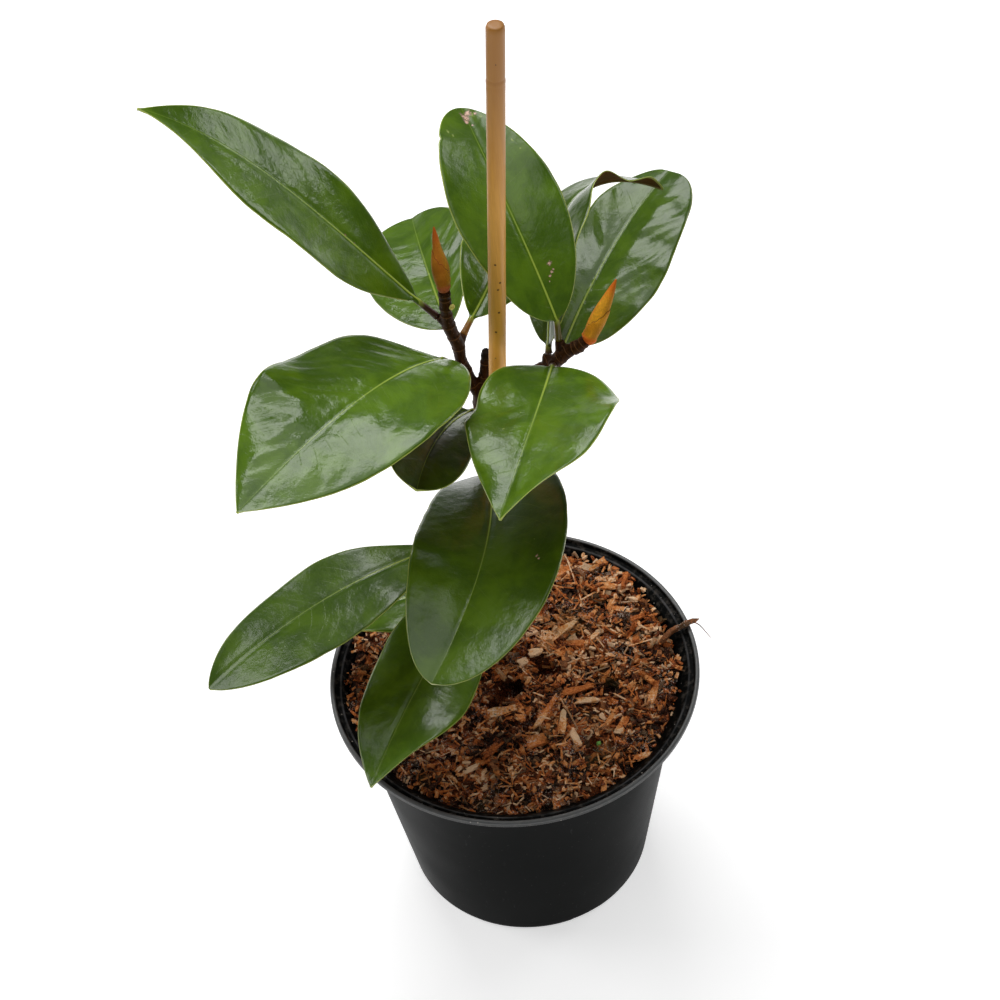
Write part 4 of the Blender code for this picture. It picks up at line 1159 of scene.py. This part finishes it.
# A pale needle stands in the mix, and a thread and a splinter lie over the rim. Each has its
# run of (point, radius), step, number of sides, tone and share of grey
SLIVERS = {
    "pale_needle": (
        (((33.4, 74, 141.5), 0.3), ((36.2, 60, 140.5), 0.38), ((39, 44.2, 138), 0.34)),
        1.0, 8, 1.3, 0.4,
    ),
    "rim_thread": (
        (((93.5, 19.4, 144.6), 0.35), ((97.5, 15.8, 145.4), 0.28), ((102.4, 7.8, 144.2), 0.14)),
        1.0, 8, 0.25, 0.4,
    ),
    "rim_splinter": ((
        ((76, 13.5, 136.0), 1.2), ((83, 16.4, 141.4), 1.5), ((88, 17.6, 143.6), 1.4),
        ((92, 18.6, 144.5), 1.4), ((96, 19.8, 144.7), 0.9), ((97.8, 20.8, 144.5), 0.3),
    ), 0.7, 14, 0.30, 0.83),
}
CHIP_COLOURS = (
    (0.0, (0.012, 0.0035, 0.0010)), (0.22, (0.085, 0.019, 0.004)), (0.42, (0.40, 0.100, 0.019)),
    (0.66, (0.66, 0.205, 0.045)), (0.86, (0.78, 0.36, 0.125)), (1.0, (0.92, 0.62, 0.37)),
)


def wall_reach(z):
    """Radius of the pot's inner wall at the height where the mix ends."""
    return float(np.interp(z, (133.0, 137.0, 139.4), (82.7, 86.0, 88.6)))


def bark_height(x, y):
    """Height of the bark mix: uneven, higher at the back and on the left, with a few dark pits."""
    place = Vector((x, y, 0.0))
    height = BARK_TOP + 0.8 + 3.2 * noise.noise(place * 0.045) + 2.0 * noise.noise(place * 0.12)
    height += 1.6 * ease(x, 20.0, 70.0) * ease(y, -40.0, 10.0)
    height += 4.9 * ease(-x, 30.0, 80.0) * ease(y, -55.0, -10.0)
    height += 5.3 * ease(y, 20.0, 75.0)
    height -= 1.0 * ease(place.length, 72.0, 84.0) * ease(-y, 0.0, 50.0)
    for pit_x, pit_y, depth, reach in PITS:
        height -= depth * (1.0 - ease(math.hypot(x - pit_x, y - pit_y), 0.25 * reach, reach))
    return float(height)


def store_chip(mesh, tone, grey):
    store(mesh, "chip", "FLOAT_VECTOR", np.tile((tone, grey, 0.0), (len(mesh.vertices), 1)))


def flake_shapes(rng, count, cuts):
    """Rough bits of bark about one unit long, as (corners, triangles)."""
    shapes = []
    for _ in range(count):
        bm = bmesh.new()
        bmesh.ops.create_cube(bm, size=1.0)
        bmesh.ops.subdivide_edges(bm, edges=list(bm.edges), cuts=cuts, use_grid_fill=True)
        taper = rng.uniform(0.2, 0.8)
        bend = rng.uniform(-0.25, 0.25)
        shift = Vector((rng.uniform(0, 50), rng.uniform(0, 50), rng.uniform(0, 50)))
        for vert in bm.verts:
            co = vert.co
            slim = 1.0 - taper * max(0.0, co.x + 0.1)
            co.y *= slim
            co.z *= 0.6 + 0.4 * slim
            co.z += bend * (co.x * co.x - 0.1)
            co += noise.noise_vector(co * 2.6 + shift) * 0.24
        bmesh.ops.triangulate(bm, faces=list(bm.faces))
        bm.verts.index_update()
        triangles = [tuple(v.index for v in f.verts) for f in bm.faces]
        shapes.append((np.array([v.co for v in bm.verts]), triangles))
        bm.free()
    return shapes


def scatter(name, rng, shapes, bits, material):
    """One mesh of many bits: (x, y, z, length, width, thickness, yaw, pitch, roll, tone)."""
    parts = []
    chips = []
    for x, y, z, length, width, thick, yaw, pitch, roll, tone in bits:
        corners, triangles = shapes[rng.randrange(len(shapes))]
        turn = Matrix.Rotation(yaw, 3, "Z") @ Matrix.Rotation(pitch, 3, "Y") @ Matrix.Rotation(roll, 3, "X")
        parts.append(((corners * (length, width, thick)) @ np.array(turn).T + (x, y, z), triangles))
        chips += [(tone, rng.random(), 0.0)] * len(corners)
    points, faces = joined(parts)
    mesh = mesh_from(name, points * MM, faces, smooth=False)
    store(mesh, "chip", "FLOAT_VECTOR", chips)
    add_to(new_object(name, mesh, material))


def random_spot(rng, reach):
    r = reach * math.sqrt(rng.random())
    angle = rng.uniform(0, 2 * math.pi)
    return r * math.cos(angle), r * math.sin(angle)


def blocked(x, y, clear):
    """Whether a spot is within the trunk or the cane."""
    return any(math.hypot(x - a, y - b) - r < clear for a, b, r in (TRUNK_SPOT, CANE_SPOT))


def near_pit(x, y, length):
    return any(math.hypot(x - px, y - py) < 0.55 * reach + 0.35 * length for px, py, _, reach in PITS)


def make_bed(material):
    """The top of the mix under the loose bits, with a skirt down the pot's wall."""
    angles = circle(BED_SIDES)
    edge = ring(BARK_R, 0, angles)
    edge_heights = [min(bark_height(x, y), BED_EDGE_TOP) - BED_DROP for x, y, _ in edge]
    points = [(0, 0, bark_height(0, 0) - BED_DROP)]
    for i in range(1, BED_RINGS + 1):
        for angle, edge_height in zip(angles, edge_heights):
            outer = wall_reach(edge_height) - 0.6
            r = outer * i / BED_RINGS
            x = r * math.cos(angle)
            y = r * math.sin(angle)
            lump = 1.6 * noise.noise(Vector((x, y, 9.0)) * 0.35)
            lump += 0.8 * noise.noise(Vector((x, y, 3.0)) * 0.9)
            share = ease(r, outer - 2.0, outer)
            height = (bark_height(x, y) - BED_DROP + lump) * (1 - share) + edge_height * share
            points.append((x, y, height))
    for (x, y, _), height in zip(ring(SKIRT_R, 0, angles), edge_heights):
        points.append((x, y, min(SKIRT_TOP, height - 0.8)))
    for r, z in ((wall_r(120) - 2.0, 120.0), (wall_r(9) - 1.9, 9.0), (wall_r(9) - 6.0, 5.4)):
        points += ring(r, z, angles)
    mesh = shell("bark_bed", points, BED_SIDES)
    store_chip(mesh, 0.2, 0.5)
    settle(new_object("bark_bed", mesh, material), "bark_mix")


def make_bark():
    rng = random.Random(BARK_SEED)
    noise.seed_set(BARK_SEED)
    paint = chip_paint()
    make_bed(paint)
    shapes = flake_shapes(rng, 14, 2)

    chunks = []
    while len(chunks) < CHUNKS:
        x, y = random_spot(rng, MIX_REACH)
        length = rng.uniform(3.0, 9.5) * (1.2 if x > 15 and y > 0 else 0.85)
        z = bark_height(x, y) + rng.uniform(-0.8, 1.4)
        beside_wall = math.hypot(x, y) > wall_reach(z) + 1.0 - length / 2
        if blocked(x, y, 2.0) or beside_wall or near_pit(x, y, length):
            continue
        width = length * rng.uniform(0.22, 0.5)
        thick = rng.uniform(0.9, 2.2)
        tone = rng.random() ** 0.9 + (0.15 if x > 10 and y > -10 else -0.05)
        turns = (rng.uniform(0, 6.28), rng.gauss(0, 0.28), rng.gauss(0, 0.45))
        chunks.append((x, y, z, length, width, thick, *turns, tone))
    for x, y, length, width, yaw, tone in NAMED_CHIPS:
        z = bark_height(x, y) + 2.2
        chunks.append((x, y, z, length, width, 0.3 * width + 0.8, yaw, -0.08, 0.1, tone))
    scatter("bark_chunks", rng, shapes, chunks, paint)

    shapes = flake_shapes(rng, 10, 1)
    crumbs = []
    while len(crumbs) < CRUMBS:
        x, y = random_spot(rng, MIX_REACH + 3)
        z = bark_height(x, y) + rng.uniform(0.0, 1.9)
        if blocked(x, y, 0.8) or near_pit(x, y, 0.0) or math.hypot(x, y) > wall_reach(z) - 0.5:
            continue
        length = rng.uniform(0.9, 4.2)
        crumbs.append((
            x, y, z, length, length * rng.uniform(0.25, 0.65), length * rng.uniform(0.15, 0.4),
            rng.uniform(0, 6.28), rng.gauss(0, 0.4), rng.gauss(0, 0.4), 0.05 + rng.random() * 1.1,
        ))
    x, y = GREEN_SPECK
    crumbs.append((x, y, bark_height(x, y) + 3.4, 2.2, 2.0, 1.9, 0.3, 0.0, 0.0, GREEN_TONE))
    scatter("bark_crumbs", rng, shapes, crumbs, paint)

    fibres = []
    while len(fibres) < FIBRES:
        x, y = random_spot(rng, MIX_REACH - 1)
        length = rng.uniform(2, 7) if rng.random() < 0.85 else rng.uniform(7, 15)
        beside_wall = math.hypot(x, y) > MIX_REACH - length / 2
        if blocked(x, y, 3.0) or beside_wall or near_pit(x, y, length):
            continue
        z = bark_height(x, y) + rng.uniform(0.6, 2.6)
        fibres.append((
            x, y, z, length, rng.uniform(0.35, 1.0), rng.uniform(0.3, 0.6),
            rng.uniform(0, 6.28), rng.gauss(0, 0.16), rng.gauss(0, 0.5), rng.random() * 1.15,
        ))
    scatter("bark_fibres", rng, shapes, fibres, paint)

    for name, (run, step, sides, tone, grey) in SLIVERS.items():
        rough = rough_bar if name == "rim_splinter" else None
        points, faces = loft(*smooth_run(run, step), sides, rough)
        mesh = mesh_from(name, points * MM, faces)
        store_chip(mesh, tone, grey)
        add_to(new_object(name, mesh, paint))


def rough_bar(i, angles):
    return 1.0 + 0.25 * np.sin(3 * angles + i * 0.35) + 0.12 * np.sin(5 * angles - i * 0.6)


def chip_paint():
    """Every bit has its own tone: near-black, red-brown, orange, tan or pale wood."""
    paint = Paint("bark_bits", Specular_IOR_Level=0.25)
    tone, grey, _ = paint.attribute("chip").split()
    here = paint.place()
    grain = paint.noise(here, 0.9, 4.0, 0.65)
    area = paint.noise(here, 0.06, 3.0, 0.6)
    moved = tone + grain.ease(0.3, 0.7, -0.16, 0.16) + area.ease(0.36, 0.6, -0.30, 0.08)
    paint.colour = paint.ramp(moved, CHIP_COLOURS)
    paint.layer(grey.ease(0.80, 0.84, 0.0, 0.55), (0.20, 0.12, 0.060))
    dusty = paint.noise(here, 2.2, 2.0, 0.7).ease(0.60, 0.70, 0.0, 0.7)
    paint.layer(dusty, (0.74, 0.40, 0.22))
    pale_area = paint.noise(here, 0.07, 2.0).ease(0.54, 0.64)
    pale = paint.noise(here, 1.1, 3.0, 0.7).ease(0.56, 0.62)
    paint.layer(pale_area * pale * 0.7, (0.85, 0.76, 0.66))
    paint.layer(paint.noise(here, 0.05, 2.0).ease(0.58, 0.68, 0.0, 0.25), (0.17, 0.13, 0.035))
    paint.layer(tone.ease(2.0, 2.5), (0.20, 0.46, 0.10))
    return paint.finish(grain.ease(0.3, 0.7, 0.9, 0.7), grain * 0.5 + dusty * 0.15)


# Studio, in metres

WHITE = (1.0, 1.0, 1.0, 1.0)
FLOOR_REACH = 12.0
WALL_REACH = 11.5
WALL_HEIGHT = 7.0
WALL_SIDES = 96
LIGHTS_AIM = Vector((0.0, 0.0, 0.28))

# Each softbox: azimuth from +Y towards +X and height in degrees, distance, width, height in
# metres, and brightness where white paper is 1
SOFTBOXES = {
    "back_window": (-12, 52, 2.2, 1.35, 1.1, 5.6),
    "left_window": (-75, 28, 2.0, 0.85, 0.85, 4.2),
    "right_window": (60, 22, 2.2, 0.75, 0.6, 4.0),
    "overhead": (180, 89, 2.2, 1.9, 2.0, 1.35),
    "front_fill": (172, 18, 2.6, 2.6, 1.3, 1.1),
}


def studio_paint(name, shine, glow, scale, darker, lighter):
    paint = Paint(name, Specular_IOR_Level=shine, Emission_Color=WHITE, Emission_Strength=glow)
    cloud = paint.noise(paint.place(), scale, 2.0)
    paint.colour = paint.mix(cloud, (darker,) * 3, (lighter,) * 3)
    return paint.finish(cloud.ease(0.0, 1.0, 0.85, 0.9))


def make_stage():
    corners = [(x * FLOOR_REACH, y * FLOOR_REACH, 0) for x, y in ((-1, -1), (1, -1), (1, 1), (-1, 1))]
    material = studio_paint("studio_floor", 0.2, 0.56, 0.004, 0.86, 0.88)
    mesh = mesh_from("studio_floor", corners, [(0, 1, 2, 3)])
    floor = new_object("studio_floor", mesh, material)

    # A pale wall far round the scene, for views from low down; it gives no light
    angles = circle(WALL_SIDES)
    points = ring(WALL_REACH, -0.01, angles) + ring(WALL_REACH, WALL_HEIGHT, angles)
    material = studio_paint("studio_wall", 0.0, 0.36, 0.0004, 0.8, 0.84)
    mesh = mesh_from("studio_wall", points, strip(0, WALL_SIDES, WALL_SIDES))
    wall = new_object("studio_wall", mesh, material)
    wall.visible_diffuse = False
    wall.visible_glossy = False
    wall.visible_transmission = False
    wall.visible_shadow = False


def make_lights():
    for name, (azimuth, rise, away, width, height, bright) in SOFTBOXES.items():
        light = bpy.data.lights.new(name, "AREA")
        light.shape = "RECTANGLE"
        light.size = width
        light.size_y = height
        light.energy = bright * math.pi * width * height
        direction = Vector(heading_to(math.radians(90 - azimuth), math.radians(rise)))
        obj = bpy.data.objects.new(name, light)
        bpy.context.scene.collection.objects.link(obj)
        obj.location = LIGHTS_AIM + direction * away
        obj.rotation_euler = direction.to_track_quat("Z", "Y").to_euler()
        obj.visible_glossy = name != "front_fill"
    world = bpy.data.worlds.new("studio_air")
    world.use_nodes = True
    background = world.node_tree.nodes["Background"]
    background.inputs["Color"].default_value = WHITE
    background.inputs["Strength"].default_value = 0.05
    bpy.context.scene.world = world


def make_camera():
    rise = math.radians(CAMERA_RISE)
    roll = math.radians(CAMERA_ROLL)
    back = Vector((0.0, -math.cos(rise), math.sin(rise)))
    level = Vector((1.0, 0.0, 0.0))
    upright = Vector((0.0, math.sin(rise), math.cos(rise)))
    right = math.cos(roll) * level + math.sin(roll) * upright
    up = -math.sin(roll) * level + math.cos(roll) * upright
    data = bpy.data.cameras.new("photo_view")
    data.sensor_fit = "HORIZONTAL"
    data.sensor_width = 36.0
    data.lens = LENS
    data.clip_start = 0.05
    data.clip_end = 50.0
    camera = bpy.data.objects.new("photo_view", data)
    bpy.context.scene.collection.objects.link(camera)
    turn = Matrix((right, up, back)).transposed().to_4x4()
    camera.matrix_world = Matrix.Translation(LOOK_AT + back * CAMERA_AWAY) @ turn
    bpy.context.scene.camera = camera
    bpy.context.scene.view_settings.view_transform = "Standard"
    bpy.context.scene.view_settings.look = "None"


make_leaves()
make_stem()
for bud_name, bud in BUDS.items():
    make_bud(bud_name, *bud)
make_cane()
make_pot()
make_bark()
make_stage()
make_lights()
make_camera()
